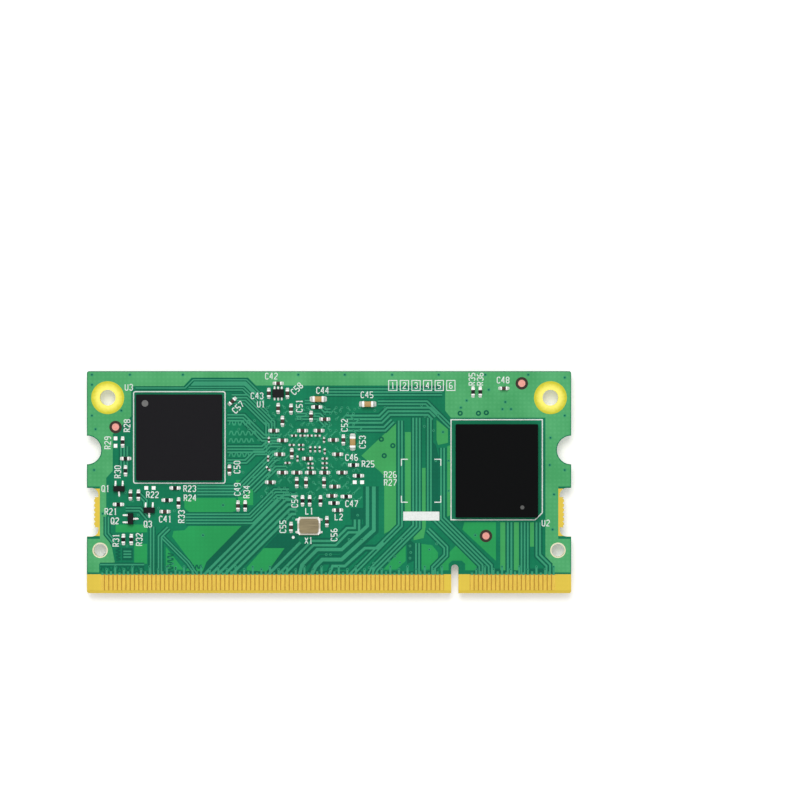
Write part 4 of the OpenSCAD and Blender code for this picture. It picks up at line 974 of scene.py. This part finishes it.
class MODULE_OT_openings(bpy.types.Operator):
    """Bares the laminate in the mask's openings: round the fiducial dots and the alignment holes"""
    bl_idname = "module.openings"
    bl_label = "Mask openings"

    def execute(self, context):
        height = context.scene.module_copper.height
        dots = solids("fiducial_dots", FIDUCIALS)
        middles = (dots.max(axis=1) + dots.min(axis=1)) / 2
        upper = middles[:, 2] > (BOARD_LOW.z + BOARD_HIGH.z) / 2
        moats = [washers(middles[chosen, :2], *MOAT, face, 1.4 * height, ROUND)
                 for chosen, face in ((upper, UPPER), (~upper, LOWER))]
        make("fiducial_moats", moats, finish(context.scene, "moat"))
        pins = np.array([LEFT_PIN, (-LEFT_PIN[0], LEFT_PIN[1])]) * MM
        rims = [washers(pins, *RIM, face, 1.2 * height, ROUND) for face in (UPPER, LOWER)]
        make("alignment_hole_rims", rims, finish(context.scene, "rim"))
        return {"FINISHED"}


# Printing


# Strokes of the letters, in sixths of their height
RING = [(1, 0), (3, 0), (4, 1), (4, 5), (3, 6), (1, 6), (0, 5), (0, 1), (1, 0)]
GLYPHS = {
    "0": [RING],
    "1": [[(1, 5), (1.8, 6), (2, 6), (2, 0)], [(1, 0), (3, 0)]],
    "2": [[(0, 5), (1, 6), (3, 6), (4, 5), (4, 4), (0, 0.5), (0, 0), (4, 0)]],
    "3": [[(0, 5), (1, 6), (3, 6), (4, 5), (4, 4), (3, 3), (4, 2), (4, 1), (3, 0), (1, 0), (0, 1)]],
    "4": [[(3, 0), (3, 6), (2.5, 6), (0, 2.5), (0, 2), (4, 2)]],
    "5": [[(4, 6), (0, 6), (0, 3), (3, 3), (4, 2), (4, 1), (3, 0), (0, 0)]],
    "6": [[(3, 6), (1, 6), (0, 5), (0, 1), (1, 0), (3, 0), (4, 1), (4, 2), (3, 3), (0, 3)]],
    "7": [[(0, 6), (4, 6), (4, 5), (1, 0)]],
    "8": [[(1, 3), (0, 4), (0, 5), (1, 6), (3, 6), (4, 5), (4, 4), (3, 3), (1, 3), (0, 2), (0, 1),
           (1, 0), (3, 0), (4, 1), (4, 2), (3, 3)]],
    "9": [[(1, 0), (3, 0), (4, 1), (4, 5), (3, 6), (1, 6), (0, 5), (0, 4), (1, 3), (4, 3)]],
    "C": [[(4, 1), (3, 0), (1, 0), (0, 1), (0, 5), (1, 6), (3, 6), (4, 5)]],
    "L": [[(0, 6), (0, 0), (4, 0)]],
    "Q": [RING, [(2.2, 2), (4.6, -0.7)]],
    "R": [[(0, 0), (0, 6), (3, 6), (4, 5), (4, 4), (3, 3), (0, 3)], [(2, 3), (4, 0)]],
    "U": [[(0, 6), (0, 1), (1, 0), (3, 0), (4, 1), (4, 6)]],
    "X": [[(0, 0), (4, 6)], [(0, 6), (4, 0)]],
}
GLYPH_WIDTH, GLYPH_HEIGHT, GLYPH_ADVANCE = 4, 6, 6.4
GLYPH_SLIM = 0.72

# Where each kind of part is labelled on the upper face: place in millimetres and turn in degrees
UPPER_LABELS = {
    "R": [
        (-30.45, -4.1, 0), (-24.65, -1.75, 0), (-19.45, -0.9, 0), (-19.4, -2.2, 0), (5.45, 2.55, 0),
        (8.55, 1.05, 0), (8.55, -0.05, 0), (-28.2, 7.9, 90), (-30.9, 5.5, 90), (-29.5, 1.45, 90),
        (-29.75, -8.1, 90), (-26.5, -8, 90), (-20.6, -4.8, 90), (-11.5, -1.35, 90),
        (19.95, 14.38, 90), (21.1, 14.38, 90),
    ],
    "C": [
        (-22.85, -5.15, 0), (-8.05, 14.8, 0), (-10.05, 12.05, 0), (-0.9, 12.8, 0), (5.3, 12.2, 0),
        (3.15, 3.45, 0), (3.15, -3, 0), (24.3, 14.25, 0), (-12.8, -1, 90), (-12.85, 2.1, 90),
        (-4.15, 10.65, 90), (2.15, 7.95, 90), (4.65, 5.6, 90), (-4.8, -2.65, 90), (-6.45, -6.2, 90),
        (0.7, -7.35, 90), (-12.7, 10.45, 45), (-4.5, 13.05, 45),
    ],
    "Q": [(-31.2, -0.9, 0), (-29.9, -5.4, 0), (-25.3, -5.85, 0)],
    "U": [(-9.5, 10.9, 0), (30.25, -5.7, 0), (-27.95, 13.25, 0)],
    "L": [(-2.75, -4.05, 0), (1.35, -4.85, 0)],
    "X": [(-2.85, -8.15, 0)],
}
UPPER_FIRST = {"R": 21, "C": 41, "Q": 1, "U": 1, "L": 1, "X": 1}
# Boxed layer numbers, the corners of a place for a label, a white panel to write on, a first-pin dot
LAYERS = 6
LAYER_BOX, LAYER_PITCH = (8.9, 13.5), 1.62
LABEL_LOW, LABEL_HIGH = (10.1, -2.8), (15.6, 3.2)
WRITING_PANEL = ((10.35, -5.35), (15.4, -4.1))
CRYSTAL_DOT = (-5, -7.7)
# Parts of the lower face that have a printed outline: letter, first number, node and how many
LOWER_OUTLINES = [
    ("L", 3, "coil_cores", 4), ("", 0, "converter_bodies", 2), ("", 0, "processor_carrier", 1),
    ("", 0, "regulator_body", 1),
]
LOWER_LABELS = {
    "C": [(-11.4, 11.6, 0), (8.4, -1.6, 90), (8.4, 2.4, 90), (8.4, 6.4, 90), (-28, 8.4, 0),
          (-28, -1.8, 0)],
    "R": [(-19.4, -9.2, 0), (-12, -9.2, 0), (-4.6, -9.2, 0), (2.8, -9.2, 0), (9.4, -9.2, 0)],
    "U": [(-7.8, 12.3, 0), (-17.34, -0.3, 90), (-17.34, 7.7, 90), (-25.3, 3.7, 90)],
}
LOWER_FIRST = {"R": 51, "C": 71, "U": 4}


def label_parts(words, x, y, turn, ink, face):
    """Ribbons along the strokes of a word, its middle at x and y, read from outside the face."""
    outward = face[1]
    tall = ink.letter / GLYPH_HEIGHT
    wide = GLYPH_SLIM * tall
    middle = np.array([((len(words) - 1) * GLYPH_ADVANCE + GLYPH_WIDTH) / 2, GLYPH_HEIGHT / 2])
    c, s = math.cos(math.radians(turn)), math.sin(math.radians(turn))
    axes = np.array([[c * outward * wide, s * wide], [-s * outward * tall, c * tall]])
    parts = []
    for i, letter in enumerate(words):
        for stroke in GLYPHS[letter]:
            points = np.array(stroke, float) + (i * GLYPH_ADVANCE, 0) - middle
            closed = stroke[0] == stroke[-1]
            path = (points[:-1] if closed else points) @ axes + np.array([x, y]) * MM
            parts.append(ribbon(path, ink.stroke, face, ink.height, closed))
    return parts


def labels_of(labels, first, ink, face):
    """Ribbons of all labels of a face. The parts of a letter are numbered on from its first number."""
    return [part for letter, places in labels.items() for i, place in enumerate(places)
            for part in label_parts(f"{letter}{first[letter] + i}", *place, ink, face)]


class MODULE_OT_upper_printing(bpy.types.Operator):
    """Prints the outlines, labels and marks of the upper face"""
    bl_idname = "module.upper_printing"
    bl_label = "Upper printing"

    def execute(self, context):
        ink = context.scene.module_ink
        margin, corner = 0.38 * MM, 0.25 * MM
        low = (MEMORY_LOW.x - margin, MEMORY_LOW.y - margin)
        high = (MEMORY_HIGH.x + margin, MEMORY_HIGH.y + margin)
        parts = [ribbon(rectangle(low, high, corner), ink.line, UPPER, ink.height, True)]
        side, foot, corner = 0.62 * MM, 0.35 * MM, 1.0 * MM
        left, right = STORAGE_LOW.x - side, STORAGE_HIGH.x + side
        near, far = STORAGE_LOW.y - foot, STORAGE_HIGH.y + side
        border = [(left, near), (right - corner, near), (right, near + corner), (right, far), (left, far)]
        parts.append(ribbon(border, ink.line, UPPER, ink.height, True))
        parts += labels_of(UPPER_LABELS, UPPER_FIRST, ink, UPPER)
        half_wide, half_high = 0.58, 0.7
        for number in range(1, LAYERS + 1):
            x, y = LAYER_BOX[0] + (number - 1) * LAYER_PITCH, LAYER_BOX[1]
            box = rectangle((x - half_wide, y - half_high), (x + half_wide, y + half_high))
            parts.append(ribbon(np.array(box) * MM, ink.stroke, UPPER, ink.height, True))
            parts += label_parts(str(number), x, y, 0, ink, UPPER)
        leg = 0.9
        for x, inward in ((LABEL_LOW[0], leg), (LABEL_HIGH[0], -leg)):
            for y, upward in ((LABEL_LOW[1], leg), (LABEL_HIGH[1], -leg)):
                bracket = np.array([(x + inward, y), (x, y), (x, y + upward)]) * MM
                parts.append(ribbon(bracket, ink.line, UPPER, ink.height))
        parts.append(plate(np.array(rectangle(*WRITING_PANEL)) * MM, UPPER, ink.height))
        parts.append(discs(np.array([CRYSTAL_DOT]) * MM, 0.42 * MM, UPPER, ink.height))
        make("upper_printing", parts, finish(context.scene, "ink"))
        return {"FINISHED"}


class MODULE_OT_lower_printing(bpy.types.Operator):
    """Prints outlines round the large parts of the lower face, each with its label"""
    bl_idname = "module.lower_printing"
    bl_label = "Lower printing"

    def execute(self, context):
        ink = context.scene.module_ink
        parts = labels_of(LOWER_LABELS, LOWER_FIRST, ink, LOWER)
        margin, corner, label_gap = 0.35 * MM, 0.3 * MM, 0.75
        for letter, first, node_name, count in LOWER_OUTLINES:
            points = solids(node_name, count)
            lows, highs = points.min(axis=1), points.max(axis=1)
            for i, at in enumerate(np.lexsort((lows[:, 1], lows[:, 0]))):
                low, high = lows[at, :2] - margin, highs[at, :2] + margin
                parts.append(ribbon(rectangle(low, high, corner), ink.stroke, LOWER, ink.height, True))
                if letter:
                    x, y = (low[0] + high[0]) / 2 / MM, high[1] / MM + label_gap
                    parts += label_parts(f"{letter}{first + i}", x, y, 0, ink, LOWER)
        make("lower_printing", parts, finish(context.scene, "ink"))
        return {"FINISHED"}


# Parts on the board


def ring_plating(metal):
    """Flash gold over nickel: a thin plating that looks greenish, and is worn pale by screw heads next to
    the hole."""
    made, tree, place = blank("Flash gold plating, worn")
    x, y, _ = node(tree, "SeparateXYZ", [place], None)
    sideways = node(tree, "Math", [x], operation="ABSOLUTE")
    flat = node(tree, "CombineXYZ", [sideways, y])
    middle = (-LEFT_HOLE[0] * MM, LEFT_HOLE[1] * MM, 0.0)
    pale_to, ragged = (1.35 * MM, 2.1 * MM), 0.25 * MM
    radius = node(tree, "VectorMath", [flat, middle], "Value", operation="DISTANCE")
    grain = node(tree, "TexNoise", {"Vector": place, "Scale": 1 / (0.4 * MM), "Detail": 3.0})
    uneven = node(tree, "MapRange", {0: grain, 3: -ragged, 4: ragged})
    reach = node(tree, "Math", [radius, uneven], operation="ADD")
    worn = node(tree, "MapRange", {0: reach, 1: pale_to[0], 2: pale_to[1]})
    tint = node(tree, "Mix", {0: worn, 6: metal.pale_ring, 7: metal.ring}, 2, data_type="RGBA")
    rough = node(tree, "MapRange", {0: worn, 3: 0.5, 4: 0.32})
    shade(tree, base_color=tint, roughness=rough, metallic=1.0)
    return made


class MODULE_OT_contacts(bpy.types.Operator):
    """Plates the contacts, hole rings, dots and bare pads"""
    bl_idname = "module.contacts"
    bl_label = "Contacts and rings"

    def execute(self, context):
        wear(context.scene, gold=["upper_contacts", "lower_contacts"], copper=["fiducial_dots"],
             tin=["bare_pads"])
        dress(ring_plating(context.scene.module_metal), ["mounting_hole_plating"])
        return {"FINISHED"}


class MODULE_OT_grid_packages(bpy.types.Operator):
    """Moulds the memory and the storage, with their first-pin dots and solder balls"""
    bl_idname = "module.grid_packages"
    bl_label = "Memory and storage"

    def execute(self, context):
        wear(context.scene, memory=["memory_package"], storage=["storage_package"],
             solder=["memory_solder_balls", "storage_solder_balls"])
        # The storage's dot has less paint in it, so the moulding darkens it
        thin = darker(context.scene.module_package.dot, 0.6)
        for name, paint, (place, width, level) in (
                ("memory_dot", finish(context.scene, "dot"), MEMORY_DOT),
                ("storage_dot", speckled("Dot paint, thin", thin, 2 / 3, 0.2, (0.6, 0.8)), STORAGE_DOT)):
            make(name, [discs([place], width, (level - DOT_DEPTH, 1.0), PAINT_DEPTH, ROUND)], paint)
        return {"FINISHED"}


class MODULE_OT_processor(bpy.types.Operator):
    """Finishes the processor: carrier, balls, die, paste and lid"""
    bl_idname = "module.processor"
    bl_label = "Processor"

    def execute(self, context):
        wear(context.scene, silicon=["processor_die"], paste=["processor_paste"], lid=["processor_lid"],
             solder=["processor_solder_balls"])
        green = context.scene.module_package.carrier
        dress(mask_material("Carrier laminate, masked", green, darker(green, 0.8)), ["processor_carrier"])
        return {"FINISHED"}


class MODULE_OT_solder(bpy.types.Operator):
    """Draws the solder up to every chip's end and lead"""
    bl_idname = "module.solder"
    bl_label = "Solder joints"

    def execute(self, context):
        solder = finish(context.scene, "solder")
        for node_name, count, face in (("upper_solder", UPPER_JOINTS, UPPER),
                                       ("lower_solder", LOWER_JOINTS, LOWER)):
            joints = fillets(solids(node_name, count), face)
            make(f"{node_name}_fillets", [joints], solder, [node_name], 60)
        return {"FINISHED"}


def round_chips(node_name, count, corner, material):
    """Replaces a node's box-like solids by blocks with rounded edges."""
    make(f"{node_name}_rounded", [blocks(solids(node_name, count), corner)], material, [node_name], 50)


class MODULE_OT_capacitors(bpy.types.Operator):
    """Rounds the capacitors' bodies and ends, and gives them their ceramics and tin"""
    bl_idname = "module.capacitors"
    bl_label = "Capacitors"

    def execute(self, context):
        corner = context.scene.module_chip.corner
        tin = finish(context.scene, "tin")
        for family, count, ceramic in (
                ("tiny", 22, "brown"), ("small", 37, "brown"), ("lower_small", 14, "brown"),
                ("medium", 3, "tan"), ("lower_medium", 10, "tan")):
            body = finish(context.scene, ceramic)
            round_chips(f"{family}_capacitor_bodies", count, 0.5 * corner, body)
            round_chips(f"{family}_capacitor_ends", 2 * count, corner, tin)
        return {"FINISHED"}


class MODULE_OT_resistors(bpy.types.Operator):
    """Finishes the resistors and the ferrite bead, with rounded ends"""
    bl_idname = "module.resistors"
    bl_label = "Resistors and bead"

    def execute(self, context):
        corner = 0.7 * context.scene.module_chip.corner
        tin = finish(context.scene, "tin")
        for ends, count in (("resistor_ends", 42), ("lower_resistor_ends", 36), ("ferrite_bead_ends", 2)):
            round_chips(ends, count, corner, tin)
        wear(context.scene, alumina=["resistor_cores", "lower_resistor_cores"],
             glass=["resistor_coats", "lower_resistor_coats"], ferrite=["ferrite_bead_body"])
        return {"FINISHED"}


class MODULE_OT_leaded_parts(bpy.types.Operator):
    """Finishes the transistors, the logic gate and the regulator"""
    bl_idname = "module.leaded_parts"
    bl_label = "Leaded parts"

    def execute(self, context):
        wear(context.scene, small=["transistor_bodies", "gate_body", "regulator_body"],
             tin=["transistor_leads", "gate_leads", "regulator_leads"])
        return {"FINISHED"}


def crystal_ceramic(chip, metal):
    """Alumina tray, fired: pale and warm, with corners that are metallised and wetted white by solder."""
    made, tree, place = blank("Crystal ceramic, soldered corners")
    low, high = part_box("crystal_base")
    middle, half = (low + high) / 2, (high - low) / 2
    axes = node(tree, "SeparateXYZ", [place], None)
    inner = [node(tree, "Math", [axes[i], middle[i], share * half[i]], operation="COMPARE")
             for i, share in enumerate((0.78, 0.3))]
    plain = node(tree, "Math", [inner[0], inner[1]], operation="MAXIMUM")
    grain = node(tree, "TexNoise", {"Vector": place, "Scale": 1 / (0.15 * MM), "Detail": 3.0})
    pale = chip.crystal_base
    ceramic = node(tree, "Mix", {0: grain, 6: darker(pale, 0.8), 7: pale}, 2, data_type="RGBA")
    tint = node(tree, "Mix", {0: plain, 6: metal.solder, 7: ceramic}, 2, data_type="RGBA")
    shade(tree, base_color=tint, roughness=0.5)
    return made


class MODULE_OT_crystal(bpy.types.Operator):
    """Finishes the crystal: terminals, ceramic tray and lid"""
    bl_idname = "module.crystal"
    bl_label = "Crystal"

    def execute(self, context):
        wear(context.scene, crystal_lid=["crystal_lid"], tin=["crystal_terminals"])
        tray = crystal_ceramic(context.scene.module_chip, context.scene.module_metal)
        dress(tray, ["crystal_base"])
        return {"FINISHED"}


class MODULE_OT_power_supply(bpy.types.Operator):
    """Finishes the coils and converters of the power supply"""
    bl_idname = "module.power_supply"
    bl_label = "Power supply"

    def execute(self, context):
        wear(context.scene, ferrite=["coil_cores"], small=["converter_bodies"],
             tin=["coil_terminals", "converter_pads"])
        return {"FINISHED"}


def seen_rays(tree):
    """1 for the rays that the camera sends and that metal and glass pass on, else 0."""
    rays = node(tree, "LightPath", out=None)
    seen = rays["Is Camera Ray"]
    for kind in ("Is Glossy Ray", "Is Transmission Ray"):
        seen = node(tree, "Math", [seen, rays[kind]], operation="MAXIMUM")
    return seen


class MODULE_OT_stage(bpy.types.Operator):
    """Sets the floor, the light and the camera"""
    bl_idname = "module.stage"
    bl_label = "Stage"

    def execute(self, context):
        scene, stage = context.scene, context.scene.module_stage
        scene.view_settings.view_transform = "Standard"
        reach, drop = 5.0, 0.01 * MM
        mesh = bpy.data.meshes.new("floor")
        corners = lift(np.array(rectangle((-reach, -reach), (reach, reach))), (-drop, 1.0), 0)
        mesh.from_pydata(corners, [], [(0, 1, 2, 3)])
        # The camera and shiny parts see some plain white on the paper, so that only deep shadows stay
        paper = finish(scene, "floor")
        tree = paper.node_tree
        share = node(tree, "Math", [seen_rays(tree), stage.lift], operation="MULTIPLY")
        white = node(tree, "Emission", {"Color": stage.floor, "Strength": share})
        bright = node(tree, "AddShader", [tree.nodes["Principled BSDF"].outputs[0], white])
        fill(tree, tree.nodes["Material Output"], {"Surface": bright})
        mesh.materials.append(paper)
        put("floor", mesh)
        # Brightest overhead, as under a wide soft box, and falling off towards the horizon. What the camera
        # and shiny parts see of it is plain white
        world = bpy.data.worlds.new("Even studio light")
        world.use_nodes = True
        tree = world.node_tree
        height = node(tree, "SeparateXYZ", [node(tree, "TexCoord", out="Generated")], 2)
        steep = node(tree, "Math", [height, 1.5], operation="POWER", use_clamp=True)
        glow = node(tree, "MapRange", {0: steep, 3: stage.horizon, 4: 1.0})
        white = node(tree, "Math", [glow, seen_rays(tree)], operation="MAXIMUM")
        fill(tree, tree.nodes["Background"], {"Color": white, "Strength": stage.sky})
        scene.world = world
        # A large lamp past the far edge gives the soft shadow along the contact edge
        away, side = 0.9, 0.45
        lamp = bpy.data.lights.new("key_light", "AREA")
        lamp.shape = "SQUARE"
        lamp.size = side
        lamp.energy = stage.key * math.pi * math.pi * away ** 2
        key = put("key_light", lamp)
        key.location = [away * part for part in (-0.06, 0.45, 0.89)]
        key.rotation_mode = "QUATERNION"
        key.rotation_quaternion = key.location.to_track_quat("Z", "Y")
        # The camera looks straight down at the point under the photograph's middle
        camera = bpy.data.cameras.new("camera")
        camera.lens = stage.lens / MM
        camera.sensor_width = stage.sensor / MM
        pixel = MM / stage.scale
        eye = put("camera", camera)
        eye.location = (
            (stage.image / 2 - stage.middle[0]) * pixel,
            (stage.middle[1] - stage.image / 2) * pixel,
            BOARD_HIGH.z + stage.image * pixel * stage.lens / stage.sensor,
        )
        scene.camera = eye
        return {"FINISHED"}


OPERATORS = [
    MODULE_OT_board, MODULE_OT_upper_copper, MODULE_OT_lower_copper, MODULE_OT_openings,
    MODULE_OT_upper_printing, MODULE_OT_lower_printing, MODULE_OT_contacts, MODULE_OT_grid_packages,
    MODULE_OT_processor, MODULE_OT_solder, MODULE_OT_capacitors, MODULE_OT_resistors,
    MODULE_OT_leaded_parts, MODULE_OT_crystal, MODULE_OT_power_supply, MODULE_OT_stage,
]


class MODULE_PT_looks(bpy.types.Panel):
    """Lists the operators that dress the module"""
    bl_idname = "MODULE_PT_looks"
    bl_label = "Compute module"
    bl_space_type = "VIEW_3D"
    bl_region_type = "UI"
    bl_category = "Module"

    def draw(self, context):
        for operator in OPERATORS:
            self.layout.operator(operator.bl_idname)


CLASSES = [*GROUPS.values(), *OPERATORS, MODULE_PT_looks]


def register():
    for made in CLASSES:
        bpy.utils.register_class(made)
    for name, group in GROUPS.items():
        setattr(bpy.types.Scene, name, PointerProperty(type=group))


def unregister():
    for name in GROUPS:
        delattr(bpy.types.Scene, name)
    for made in reversed(CLASSES):
        bpy.utils.unregister_class(made)


def main():
    """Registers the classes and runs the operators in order."""
    register()
    for operator in OPERATORS:
        family, name = operator.bl_idname.split(".")
        getattr(getattr(bpy.ops, family), name)()


if __name__ == "__main__":
    main()
